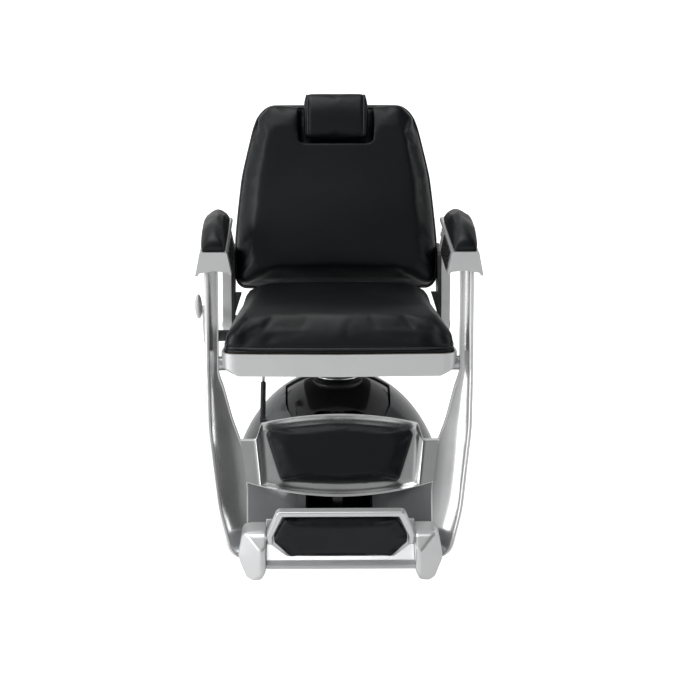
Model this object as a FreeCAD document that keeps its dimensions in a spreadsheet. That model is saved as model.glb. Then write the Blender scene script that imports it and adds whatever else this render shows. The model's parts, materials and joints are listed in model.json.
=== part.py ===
import FreeCAD, Part
import math
import os
import Sketcher
from FreeCAD import Placement, Rotation, Vector

# Hydraulic barber chair, in millimetres.
# Origin: on the floor, on the axis of the lifting column. +Z is up and the chair faces -Y.
# The backrest, the leg-rest and the two armrests form a parallelogram with the seat: four pivot lines
# along X, two on the seat (front_pivot, rear_pivot) and two under the armrests, one arm_rise above them.

os.makedirs("parts", exist_ok=True)
doc = FreeCAD.newDocument("barber_chair")
sheet = doc.addObject("Spreadsheet::Sheet", "sizes")


class Size:
    """A length that knows both its value and the sheet expression that gives it."""

    def __init__(self, text, value):
        self.text = text
        self.value = value

    def __float__(self):
        return float(self.value)

    def __neg__(self):
        return Size("-(%s)" % self.text, -self.value)

    def __add__(self, other):
        return Size("(%s + %s)" % (self.text, wording(other)), self.value + float(other))

    def __radd__(self, other):
        return Size("(%s + %s)" % (wording(other), self.text), float(other) + self.value)

    def __sub__(self, other):
        return Size("(%s - %s)" % (self.text, wording(other)), self.value - float(other))

    def __rsub__(self, other):
        return Size("(%s - %s)" % (wording(other), self.text), float(other) - self.value)

    def __mul__(self, other):
        return Size("(%s * %s)" % (self.text, wording(other)), self.value * float(other))

    __rmul__ = __mul__

    def __truediv__(self, other):
        return Size("(%s / %s)" % (self.text, wording(other)), self.value / float(other))


def wording(value):
    return value.text if isinstance(value, Size) else repr(float(value))


def size(alias, value):
    """Writes one driving dimension into the sheet and returns it."""
    size.row += 1
    cell = "A%d" % size.row
    sheet.set(cell, str(value))
    sheet.setAlias(cell, alias)
    return Size("sizes.%s" % alias, value)


size.row = 0

# ---------------------------------------------------------------- fits
running = size("running_clearance", 0.05)
easy = size("easy_clearance", 0.3)
open_fit = size("open_pivot_clearance", 1.0)

# ---------------------------------------------------------------- base and column
plate_radius = size("plate_radius", 275)
pad_thick = size("floor_pad_thickness", 3)
plate_thick = size("base_plate_thickness", 10)
dome_radius = size("dome_radius", 265)
dome_height = size("dome_height", 330)
dome_waist = size("dome_waist_level", 80)
dome_wall = size("dome_wall", 4)
slot_half = size("slot_half_width", 80)
slot_bottom = size("slot_bottom_level", 34)
slot_flare_low = size("slot_flare_low", 285)
slot_flare_high = size("slot_flare_high", 342)
slot_flare_half = size("slot_flare_half_width", 128)
liner_wall = size("liner_wall", 3)
column_radius = size("column_radius", 67)
column_top = size("column_top_level", 388)
gland_thick = size("gland_thickness", 14)
gland_radius = size("gland_radius", 58)
flange_radius = size("column_flange_radius", 105)
flange_thick = size("column_flange_thickness", 14)
bolt_radius = size("bolt_radius", 5)
bolt_head = size("bolt_head_radius", 8.5)
bolt_head_tall = size("bolt_head_height", 7)
pump_wide = size("pump_width", 90)
pump_deep = size("pump_depth", 70)
pump_tall = size("pump_height", 130)
ram_radius = size("ram_radius", 32)
piston_radius = size("piston_radius", 40)
piston_tall = size("piston_height", 26)
ram_foot = size("ram_foot_level", 60)
ram_top = size("ram_top_level", 424)
head_radius = size("ram_flange_radius", 74)
head_thick = size("ram_flange_thickness", 10)
bearing_thick = size("bearing_thickness", 7)
spindle_radius = size("spindle_radius", 18)
spindle_deep = size("spindle_depth", 60)

# ---------------------------------------------------------------- seat
pan_top = size("pan_top_level", 516)
pan_bottom = size("pan_bottom_level", 463)
pan_half = size("pan_half_width", 281)
pan_rear_half = pan_half - size("pan_taper", 43)
pan_foot_half = pan_half - size("pan_slant", 19)
pan_facet_half = pan_half - size("pan_facet_width", 49)
pan_facet_deep = size("pan_facet_depth", 60)
pan_lip = size("pan_lip_height", 11)
pan_front = size("pan_front_reach", 306)
pan_bow = size("pan_front_bow", 9)
pan_rear = size("pan_rear_reach", 150)
pan_wall = size("pan_wall", 5)
board_thick = size("seat_board_thickness", 12)
board_gap = size("seat_board_gap", 9)
cushion_tall = size("seat_cushion_height", 76)
yoke_thick = size("yoke_thickness", 14)
yoke_half_wide = size("yoke_half_width", 125)
yoke_half_long = size("yoke_half_length", 150)

# ---------------------------------------------------------------- pivots of the parallelogram
pivot_rise = size("seat_pivot_level", 485)
front_pivot = size("front_pivot_reach", 255)
rear_pivot = size("rear_pivot_reach", 180)
arm_rise = size("arm_pivot_rise", 231)
axle_radius = size("axle_radius", 12)
rear_pin_radius = size("rear_pin_radius", 8)
arm_pin_radius = size("arm_pin_radius", 6)
spacer_radius = size("hub_spacer_radius", 17)
bar_inner = pan_half + size("side_bar_gap", 3)
bar_wide = size("side_bar_width", 32)
link_inner = bar_inner - size("link_inset", 19)
link_thick = size("link_thickness", 22)
link_half = size("link_half_width", 16)

# ---------------------------------------------------------------- backrest
back_lean = size("back_lean_angle", 16)
back_foot_reach = size("back_foot_reach", 168)
back_foot_rise = size("back_foot_level", 587)
back_half = link_inner - size("back_side_gap", 9)
back_mid_half = back_half - size("back_mid_taper", 17)
back_top_half = back_half - size("back_top_taper", 53)
back_tall = size("back_height", 470)
back_straight = size("back_straight_height", 120)
back_cushion_thick = size("back_cushion_thickness", 70)
back_board_thick = size("back_board_thickness", 12)
back_shell_deep = size("back_shell_depth", 30)
back_shell_wall = size("back_shell_wall", 6)
recess_half = size("headrest_recess_half_width", 93)
recess_tall = size("headrest_recess_height", 104)
recess_deep = size("headrest_recess_depth", 42)
post_half = size("headrest_post_half_width", 20)
post_thick = size("headrest_post_thickness", 6)
guide_half = size("headrest_guide_half_width", 34)
headrest_rise = size("headrest_pivot_rise", 15)
headrest_half = size("headrest_half_width", 80)
headrest_tall = size("headrest_height", 122)
headrest_thick = size("headrest_thickness", 50)

# ---------------------------------------------------------------- armrests
arm_front = size("arm_front_reach", 286)
arm_rear = size("arm_rear_reach", 196)
arm_top = pivot_rise + arm_rise + size("arm_casting_rise", 41)
arm_skirt = pivot_rise + arm_rise - size("arm_skirt_drop", 16)
arm_inner_top = bar_inner - size("arm_inner_top_inset", 22)
arm_inner_low = bar_inner - size("arm_inner_low_inset", 33)
arm_outer_top = bar_inner + size("arm_outer_top_reach", 41)
arm_outer_low = bar_inner + size("arm_outer_low_reach", 52)
arm_wall = size("arm_wall", 7)
arm_pad_tall = size("arm_pad_height", 64)
arm_pad_rear = size("arm_pad_rear_reach", 140)
arm_pad_fall = size("arm_pad_rear_fall", 32)

# ---------------------------------------------------------------- leg-rest
bar_foot_outer = bar_inner - size("panel_foot_inset", 22)
panel_inner = bar_inner - size("panel_width", 69)
calf_top = size("calf_plate_top_level", 375)
calf_low = size("calf_plate_low_level", 202)
calf_ledge = size("calf_ledge_level", 319)
calf_front = size("calf_plate_top_reach", 306)
calf_lean = size("calf_plate_lean_angle", 19.3)
calf_thick = size("calf_plate_thickness", 12)
calf_pad_thick = size("calf_pad_thickness", 24)
lobe_inner = panel_inner - size("lobe_inset", 43)
lobe_outer = lobe_inner + size("lobe_width", 64)
lobe_low = size("lobe_low_level", 24)
lobe_top = size("lobe_top_level", 150)
lobe_front = size("lobe_front_reach", 508)
beam_low = size("foot_beam_level", 54)
beam_thick = size("foot_beam_thickness", 9)
beam_gap = size("foot_beam_clearance", 12)
foot_pivot_rise = size("foot_pivot_level", 122)
foot_pivot_reach = size("foot_pivot_reach", 478)
foot_half = lobe_inner - size("foot_side_gap", 3)
foot_bar_half = foot_half - size("foot_splay", 23)
foot_tall = size("foot_frame_rise", 74)
foot_drop = size("foot_frame_drop", 48)
foot_lean = size("foot_frame_lean_angle", 12)
foot_pin_radius = size("foot_pin_radius", 5)

# ---------------------------------------------------------------- strut and hand lever
strut_side = size("strut_offset", 181)
strut_low_reach = size("strut_low_reach", 272)
strut_low_rise = size("strut_low_level", 350)
strut_high_reach = size("strut_high_reach", 60)
strut_high_rise = size("strut_high_level", 447)
strut_radius = size("strut_radius", 6.5)
strut_rod_radius = size("strut_rod_radius", 3.5)
strut_pin_radius = size("strut_pin_radius", 4)
strut_slack = size("strut_slot_clearance", 3)
lever_reach = size("lever_shaft_reach", 40)
lever_rise = size("lever_shaft_level", 487)
lever_offset = bar_inner + size("lever_plate_reach", 38)
lever_shaft_radius = size("lever_shaft_radius", 8)
lever_shaft_long = size("lever_shaft_length", 56)
doc.recompute()

arm_pivot_rise = pivot_rise + arm_rise
base_bolt_count = 4
yoke_bolt_count = 4
# How far a cutting tool runs past the surface it opens.
past = 1
parts = []


# ---------------------------------------------------------------- building blocks
def bind(obj, prop, value):
    """Drives a property from the sheet, or sets a plain number."""
    if isinstance(value, Size):
        obj.setExpression(prop, value.text)
        return
    obj.setExpression(prop, repr(float(value)))


def keep(obj, label):
    """Marks an object as a finished sub-part under its own name."""
    obj.Label = label
    parts.append(obj)
    return obj


def plane_of(body, name):
    return [item for item in body.Origin.OriginFeatures if item.Role == name + "_Plane"][0]


def polygon(body, plane, points, offset):
    """A closed polygon sketch whose every corner is placed by the sheet."""
    sketch = body.newObject("Sketcher::SketchObject", "outline")
    sketch.AttachmentSupport = [(plane_of(body, plane), "")]
    sketch.MapMode = "FlatFace"
    bind(sketch, "AttachmentOffset.Base.z", offset)
    count = len(points)
    corners = [Vector(float(u), float(v), 0) for u, v in points]
    for index in range(count):
        sketch.addGeometry(Part.LineSegment(corners[index], corners[(index + 1) % count]), False)
    for index in range(count):
        sketch.addConstraint(Sketcher.Constraint("Coincident", index, 2, (index + 1) % count, 1))
    for index, corner in enumerate(points):
        for kind, value in zip(("DistanceX", "DistanceY"), corner):
            number = sketch.addConstraint(Sketcher.Constraint(kind, -1, 1, index, 1, float(value)))
            if isinstance(value, Size):
                sketch.setExpression("Constraints[%d]" % number, value.text)
    return sketch


ALONG = {"XY": Vector(0, 0, 1), "XZ": Vector(0, -1, 0), "YZ": Vector(1, 0, 0)}
ACROSS = {"XY": (Vector(1, 0, 0), Vector(0, 1, 0)),
          "XZ": (Vector(1, 0, 0), Vector(0, 0, 1)),
          "YZ": (Vector(0, 1, 0), Vector(0, 0, 1))}


def flat_point(plane, point):
    across, upward = ACROSS[plane]
    return across.dot(point), upward.dot(point)


def corner_edges(shape, plane, corner):
    """The straight edges that stand over one corner of the outline."""
    names = []
    for number, edge in enumerate(shape.Edges, 1):
        ends = [flat_point(plane, vertex.Point) for vertex in edge.Vertexes]
        near = [math.hypot(u - float(corner[0]), v - float(corner[1])) < 0.01 for u, v in ends]
        if len(ends) == 2 and all(near):
            names.append("Edge%d" % number)
    return names


def prism(plane, points, start, length, rounds=(), rims=()):
    """A padded polygon. It starts at the level 'start' along the plane's normal (which is -Y for XZ).
    rounds: (corner numbers, radius) for the upright edges; rims: (level, radius) softens an end's outline."""
    body = doc.addObject("PartDesign::Body", "body")
    sketch = polygon(body, plane, points, start)
    feature = body.newObject("PartDesign::Pad", "pad")
    feature.Profile = sketch
    bind(feature, "Length", length)
    sketch.Visibility = False
    doc.recompute()
    for corners, radius in rounds:
        names = []
        for number in corners:
            names += corner_edges(feature.Shape, plane, points[number])
        feature = fillet(body, feature, names, radius)
    for level, radius in rims:
        feature = fillet(body, feature, level_edges(feature.Shape, plane, level), radius)
    body.Tip = feature
    return body


def level_edges(shape, plane, level):
    """The edges that lie wholly at one level along the plane's normal."""
    names = []
    for number, edge in enumerate(shape.Edges, 1):
        box = edge.BoundBox
        low = ALONG[plane].dot(Vector(box.XMin, box.YMin, box.ZMin))
        high = ALONG[plane].dot(Vector(box.XMax, box.YMax, box.ZMax))
        if abs(low - float(level)) < 0.01 and abs(high - float(level)) < 0.01:
            names.append("Edge%d" % number)
    return names


def fillet(body, feature, names, radius):
    rounding = body.newObject("PartDesign::Fillet", "round")
    rounding.Base = (feature, names)
    bind(rounding, "Radius", radius)
    doc.recompute()
    return rounding


def turned(points):
    """A solid of revolution about Z from a (radius, level) outline."""
    body = doc.addObject("PartDesign::Body", "body")
    sketch = polygon(body, "XZ", points, 0)
    feature = body.newObject("PartDesign::Revolution", "turn")
    feature.Profile = sketch
    feature.ReferenceAxis = (sketch, ["V_Axis"])
    feature.Angle = 360
    body.Tip = feature
    return body


def place(obj, x, y, z):
    bind(obj, "Placement.Base.x", x)
    bind(obj, "Placement.Base.y", y)
    bind(obj, "Placement.Base.z", z)


def rod(axis, start, length, radius):
    """A cylinder from 'start' along +X, +Y or +Z."""
    bar = doc.addObject("Part::Cylinder", "rod")
    bind(bar, "Radius", radius)
    bind(bar, "Height", length)
    turn = {"X": Rotation(Vector(0, 1, 0), 90), "Y": Rotation(Vector(1, 0, 0), -90), "Z": Rotation()}[axis]
    bar.Placement = Placement(Vector(), turn)
    place(bar, *start)
    return bar


def block(start, extent):
    box = doc.addObject("Part::Box", "block")
    for prop, value in zip(("Length", "Width", "Height"), extent):
        bind(box, prop, value)
    place(box, *start)
    return box


def cut(base, *tools):
    for tool in tools:
        result = doc.addObject("Part::Cut", "cut")
        result.Base = base
        result.Tool = tool
        base = result
    return base


def common(first, second):
    result = doc.addObject("Part::Common", "common")
    result.Base = first
    result.Tool = second
    return result


def fuse(*shapes):
    result = doc.addObject("Part::MultiFuse", "fuse")
    result.Shapes = list(shapes)
    return result


def twin_of(source):
    """The right-hand twin of a left-hand shape."""
    twin = doc.addObject("Part::Mirroring", "twin")
    twin.Source = source
    twin.Normal = Vector(1, 0, 0)
    return twin


def mirrored(source, label):
    """The right-hand twin of a left-hand piece, as a piece of its own."""
    return keep(twin_of(source), label)


def both_sides(source, label):
    """One node that holds a piece and its twin as two solids."""
    pair = doc.addObject("Part::Compound", "pair")
    pair.Links = [source, twin_of(source)]
    return keep(pair, label)


def ring(source, count):
    """Equal shapes spaced evenly round the column."""
    copies = []
    for number in range(count):
        copy = doc.addObject("Part::Compound", "copy")
        copy.Links = [source]
        copy.Placement = Placement(Vector(), Rotation(Vector(0, 0, 1), 360.0 / count * number))
        copies.append(copy)
    group = doc.addObject("Part::Compound", "ring")
    group.Links = copies
    return group


def tilt(obj, reach, rise, angle, way):
    """Leans an upright piece about X and stands it at (reach, rise). way +1 takes its top towards +Y."""
    obj.Placement = Placement(Vector(), Rotation(Vector(-way, 0, 0), 10))
    bind(obj, "Placement.Rotation.Angle", angle)
    place(obj, 0, reach, rise)
    return obj


# ---------------------------------------------------------------- base
def dome_solid(shrink, floor_level):
    radius = (dome_radius - shrink).value
    height = (dome_height - shrink).value
    waist = dome_waist.value
    low = float(floor_level)
    if height > radius:
        oval = Part.Ellipse(Vector(0, height, 0), Vector(-radius, 0, 0), Vector(0, 0, 0))
        quarter = oval.toShape(-math.pi / 2, 0)
    else:
        oval = Part.Ellipse(Vector(radius, 0, 0), Vector(0, height, 0), Vector(0, 0, 0))
        quarter = oval.toShape(0, math.pi / 2)
    quarter.rotate(Vector(), Vector(1, 0, 0), 90)
    quarter.translate(Vector(0, 0, waist))
    ends = [Vector(radius, 0, waist), Vector(0, 0, waist + height)]
    sides = [
        quarter,
        Part.makeLine(ends[1], Vector(0, 0, low)),
        Part.makeLine(Vector(0, 0, low), Vector(radius, 0, low)),
        Part.makeLine(Vector(radius, 0, low), ends[0])]
    face = Part.Face(Part.Wire(Part.__sortEdges__(sides)))
    feature = doc.addObject("Part::Feature", "dome")
    feature.Shape = face.revolve(Vector(), Vector(0, 0, 1), 360)
    return feature


def build_base():
    deck = pad_thick + plate_thick
    keep(turned([(0, 0), (plate_radius, 0), (plate_radius, pad_thick), (0, pad_thick)]), "floor_pad")
    bevel = plate_thick / 2
    plate = turned([
        (0, pad_thick), (plate_radius, pad_thick), (plate_radius, deck - bevel),
        (plate_radius - bevel, deck), (0, deck)])
    bolt_circle = (column_radius + flange_radius) / 2
    seat_level = deck + flange_thick
    hole = rod("Z", (bolt_circle, 0, pad_thick), plate_thick + flange_thick, bolt_radius + running)
    holes = ring(hole, base_bolt_count)
    keep(cut(plate, holes), "base_plate")
    shank = rod("Z", (bolt_circle, 0, pad_thick + bolt_head_tall / 2),
                seat_level - pad_thick - bolt_head_tall / 2, bolt_radius)
    head = rod("Z", (bolt_circle, 0, seat_level), bolt_head_tall, bolt_head)
    keep(ring(fuse(shank, head), base_bolt_count), "base_bolts")

    bore = piston_radius + running
    barrel = turned([
        (bore, deck), (flange_radius, deck), (flange_radius, seat_level), (column_radius, seat_level),
        (column_radius, column_top), (bore, column_top)])
    keep(cut(barrel, holes), "hydraulic_cylinder")
    gland_top = column_top + gland_thick
    chamfer = gland_thick / 4
    keep(turned([
        (ram_radius + running, column_top), (gland_radius, column_top), (gland_radius, gland_top - chamfer),
        (gland_radius - chamfer, gland_top), (ram_radius + running, gland_top)]), "cylinder_gland")

    skin = cut(dome_solid(0, deck), dome_solid(dome_wall, deck))
    mouth = rod("Z", (0, 0, deck), dome_height + dome_waist, gland_radius + 3)
    peak = dome_waist + dome_height
    keyhole = prism("XZ", [
        (-slot_half, slot_bottom), (slot_half, slot_bottom), (slot_half, slot_flare_low),
        (slot_flare_half, slot_flare_high), (slot_flare_half, peak), (-slot_flare_half, peak),
        (-slot_flare_half, slot_flare_high), (-slot_half, slot_flare_low)],
        0, dome_radius + 10, [((2, 7), 34), ((3, 6), 24)])
    keep(cut(skin, mouth, keyhole), "cowl_shell")

    gap = dome_wall + 1
    cap = cut(dome_solid(gap, deck), dome_solid(gap + liner_wall, deck))
    upper = rod("Z", (0, 0, slot_flare_low - 20), dome_height, dome_radius)
    arch = prism("XZ", [
        (-slot_half, slot_bottom), (slot_half, slot_bottom), (slot_half, slot_flare_high),
        (-slot_half, slot_flare_high)], 0, dome_radius, [((2, 3), 45)])
    keep(cut(common(cap, upper), mouth, arch), "cowl_cap")

    outer = slot_half - 0.5
    inner = outer - liner_wall
    tall = slot_flare_low - deck
    trough = cut(
        fuse(rod("Z", (0, 0, deck), tall, outer),
             block((-outer, -dome_radius, deck), (2 * outer, dome_radius, tall))),
        rod("Z", (0, 0, deck), tall, inner),
        block((-inner, -dome_radius - 1, deck), (2 * inner, dome_radius + 1, tall)),
        rod("Z", (0, 0, deck), flange_thick + bolt_head_tall + 1, flange_radius + 1))
    envelope = dome_solid(gap + liner_wall + 1, deck)
    keep(common(trough, envelope), "cowl_liner")

    pump_front = slot_half + 1
    plunger_tall = 34
    plunger_radius = 13
    pump = block((-pump_wide / 2, pump_front, deck), (pump_wide, pump_deep, pump_tall))
    foot_clear = rod("Z", (0, 0, deck), flange_thick + bolt_head_tall, flange_radius + 1)
    plunger = rod("Z", (0, pump_front + pump_deep / 2, deck + pump_tall), plunger_tall, plunger_radius)
    keep(cut(fuse(pump, plunger), foot_clear), "pump_body")


# ---------------------------------------------------------------- lift
def build_lift():
    rod_top = ram_top
    spindle_hole = spindle_radius + running
    spindle_floor = rod_top - spindle_deep - 5
    keep(turned([
        (0, ram_foot), (piston_radius, ram_foot), (piston_radius, ram_foot + piston_tall),
        (ram_radius, ram_foot + piston_tall), (ram_radius, rod_top), (spindle_hole, rod_top),
        (spindle_hole, spindle_floor), (0, spindle_floor)]), "ram")
    flange_low = rod_top - head_thick
    keep(turned([
        (ram_radius, flange_low), (head_radius - 6, flange_low), (head_radius, flange_low + 6),
        (head_radius, rod_top), (ram_radius, rod_top)]), "ram_flange")
    keep(turned([
        (spindle_radius + 6, rod_top), (head_radius - 6, rod_top),
        (head_radius - 6, rod_top + bearing_thick), (spindle_radius + 6, rod_top + bearing_thick)]),
        "thrust_bearing")


# ---------------------------------------------------------------- seat
def plan(inset, start, length, rounds=(), rims=()):
    """The seat's outline from above: widest at the front, slightly bowed, round at the corners."""
    return prism("XY", [
        (-(pan_half - inset), -(pan_front - pan_bow - inset)), (0, -(pan_front - inset)),
        (pan_half - inset, -(pan_front - pan_bow - inset)), (pan_rear_half - inset, pan_rear - inset),
        (-(pan_rear_half - inset), pan_rear - inset)], start, length, rounds, rims)


def pan_profile(inset, start, length):
    """The pan from the front: an upright lip over slanted lower corners."""
    low = pan_bottom + inset
    slant = pan_top - pan_lip
    return prism("XZ", [
        (-(pan_half - inset), slant + inset), (-(pan_foot_half - inset * 0.5), low),
        (pan_foot_half - inset * 0.5, low), (pan_half - inset, slant + inset),
        (pan_half - inset, pan_top + inset), (-(pan_half - inset), pan_top + inset)],
        start, length, [((1, 2), 26)])


def facet_cutter():
    """A wedge off the pan's lower left corner: full size at the front, running out behind."""
    body = doc.addObject("PartDesign::Body", "body")
    outer = -pan_half - past
    low = pan_bottom - past
    tail_wide = 20
    tail_tall = 1
    front = polygon(body, "XZ", [(outer, low), (-pan_facet_half, low), (outer, pan_top - pan_lip)],
                    pan_front + past)
    tail = polygon(body, "XZ", [(outer, low), (outer + tail_wide, low), (outer, low + tail_tall)],
                   pan_front + past - pan_facet_deep)
    feature = body.newObject("PartDesign::AdditiveLoft", "loft")
    feature.Profile = front
    feature.Sections = [tail]
    feature.Ruled = True
    body.Tip = feature
    return body


def build_seat():
    deck = ram_top + bearing_thick + running
    yoke_top = pan_bottom
    yoke_low = yoke_top - yoke_thick
    bolt_circle = head_radius - 14
    bolt_hole = rod("Z", (bolt_circle, 0, deck + 2), yoke_top - deck + pan_wall, bolt_radius + running)
    spindle = turned([
        (0, ram_top - spindle_deep), (spindle_radius, ram_top - spindle_deep), (spindle_radius, deck),
        (head_radius, deck), (head_radius, yoke_low), (0, yoke_low)])
    holes = ring(bolt_hole, yoke_bolt_count)
    keep(cut(spindle, holes), "swivel_spindle")
    yoke = prism("XY", [
        (-yoke_half_wide, -yoke_half_long), (yoke_half_wide, -yoke_half_long),
        (yoke_half_wide, yoke_half_long), (-yoke_half_wide, yoke_half_long)],
        yoke_low, yoke_thick, [((0, 1, 2, 3), 30)])
    keep(cut(yoke, holes), "seat_yoke")
    shank = rod("Z", (bolt_circle, 0, deck + 2), yoke_top + pan_wall - deck - 2, bolt_radius)
    head = rod("Z", (bolt_circle, 0, yoke_top + pan_wall), bolt_head_tall, bolt_head)
    keep(ring(fuse(shank, head), yoke_bolt_count), "yoke_bolts")

    long = pan_front + pan_rear
    facet = facet_cutter()
    outside = common(plan(0, pan_bottom, pan_top - pan_bottom, [((0, 2), 38), ((3, 4), 46)]),
                     pan_profile(0, -pan_rear - 1, long + 2))
    inside = common(plan(pan_wall, pan_bottom, pan_top, [((0, 2), 34), ((3, 4), 42)]),
                    pan_profile(pan_wall, -pan_rear - 1, long + 2))
    trimmed = cut(outside, facet, twin_of(facet))
    hub_hole = rod("X", (-bar_inner - bar_wide, -front_pivot, pivot_rise), (bar_inner + bar_wide) * 2,
                   axle_radius + running)
    spacer_in = pan_foot_half + 2
    spacer_length = bar_inner - easy - spacer_in
    spacer = rod("X", (-(bar_inner - easy), -front_pivot, pivot_rise), spacer_length, spacer_radius)
    socket = rod("X", (-(bar_inner - easy), -front_pivot, pivot_rise), spacer_length, spacer_radius + running)
    socket_twin = rod("X", (spacer_in, -front_pivot, pivot_rise), spacer_length, spacer_radius + running)
    keep(cut(trimmed, inside, hub_hole, socket, socket_twin, holes), "seat_pan")
    both_sides(cut(spacer, hub_hole), "hub_spacers")
    axle_half = bar_inner + bar_wide - 1
    keep(rod("X", (-axle_half, -front_pivot, pivot_rise), axle_half * 2, axle_radius), "hub_axle")

    keep(plan(pan_wall + board_gap, pan_top - board_thick, board_thick, [((0, 2), 34), ((3, 4), 42)]),
         "seat_board")
    keep(plan(2, pan_top, cushion_tall, [((0, 2), 38), ((3, 4), 60)], [(pan_top + cushion_tall, 26)]),
         "seat_cushion")

    bracket_outer = link_inner - 9
    bracket_in = pan_rear_half - 12
    bracket = prism("YZ", [
        (rear_pivot - 120, pivot_rise - 16), (rear_pivot + 22, pivot_rise - 16),
        (rear_pivot + 22, pivot_rise + 22), (rear_pivot - 120, pivot_rise + 22)],
        -bracket_outer, bracket_outer - bracket_in, [((1, 2), 14)])
    pin_hole = rod("X", (-link_inner - link_thick, rear_pivot, pivot_rise), 80, rear_pin_radius + running)
    left = keep(cut(bracket, outside, pin_hole), "rear_bracket_left")
    mirrored(left, "rear_bracket_right")
    both_sides(rod("X", (-(link_inner + link_thick + 2), rear_pivot, pivot_rise),
                   link_inner + link_thick + 2 - bracket_in, rear_pin_radius), "rear_pins")

    lug_low = strut_high_rise - 11
    lug = prism("YZ", [
        (-strut_high_reach - 26, pan_bottom),
        (-strut_high_reach - 11, lug_low), (-strut_high_reach + 11, lug_low),
        (-strut_high_reach + 26, pan_bottom)], -strut_side + 7, 6)
    pin = rod("X", (-strut_side - 6, -strut_high_reach, strut_high_rise), 15, strut_pin_radius)
    keep(fuse(lug, pin), "strut_bracket")

    boss_in = pan_rear_half
    boss = rod("X", (-(lever_offset - easy), lever_reach, lever_rise), lever_offset - easy - boss_in, 14)
    shaft_hole = rod("X", (-lever_offset, lever_reach, lever_rise), lever_shaft_long + 4,
                     lever_shaft_radius + running)
    keep(cut(boss, outside, shaft_hole), "lever_boss")


def build_lever():
    arm_thick = 8
    grip_thick = 18
    plate = prism("YZ", [
        (lever_reach - 14, lever_rise - 16), (lever_reach + 16, lever_rise - 12),
        (lever_reach + 12, lever_rise + 16), (lever_reach - 80, lever_rise + 96),
        (lever_reach - 98, lever_rise + 78)], -lever_offset - arm_thick, arm_thick,
        [((0, 1, 2, 3, 4), 8)])
    shaft = rod("X", (-lever_offset, lever_reach, lever_rise), lever_shaft_long, lever_shaft_radius)
    keep(fuse(plate, shaft), "lever_arm")
    keep(prism("YZ", [
        (lever_reach - 62, lever_rise + 50), (lever_reach - 44, lever_rise + 66),
        (lever_reach - 96, lever_rise + 130), (lever_reach - 122, lever_rise + 112)],
        -lever_offset - arm_thick - grip_thick, grip_thick, [((0, 1, 2, 3), 8)],
        [(-lever_offset - arm_thick - grip_thick, 5)]), "lever_grip")


# ---------------------------------------------------------------- backrest
def back_outline(inset, top_inset, start, length, rounds, rims=()):
    """The backrest from the front, upright in its own frame: straight sides below, tapering above."""
    mid = back_tall * 0.6
    shoulder_cut = 34
    shoulder = back_tall - shoulder_cut
    crown_half = back_top_half - shoulder_cut
    return prism("XZ", [
        (-(back_half - inset), inset), (back_half - inset, inset), (back_half - inset, back_straight),
        (back_mid_half - inset, mid), (back_top_half - inset, shoulder),
        (crown_half - inset, back_tall - top_inset), (-(crown_half - inset), back_tall - top_inset),
        (-(back_top_half - inset), shoulder), (-(back_mid_half - inset), mid),
        (-(back_half - inset), back_straight)], start, length, rounds, rims)


BACK_ROUNDS = [((0, 1), 30), ((4, 7), 40), ((5, 6), 40)]
BACK_INNER_ROUNDS = [((0, 1), 26), ((4, 7), 36), ((5, 6), 36)]


def lean_back(obj):
    return tilt(obj, back_foot_reach, back_foot_rise, back_lean, 1)


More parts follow.
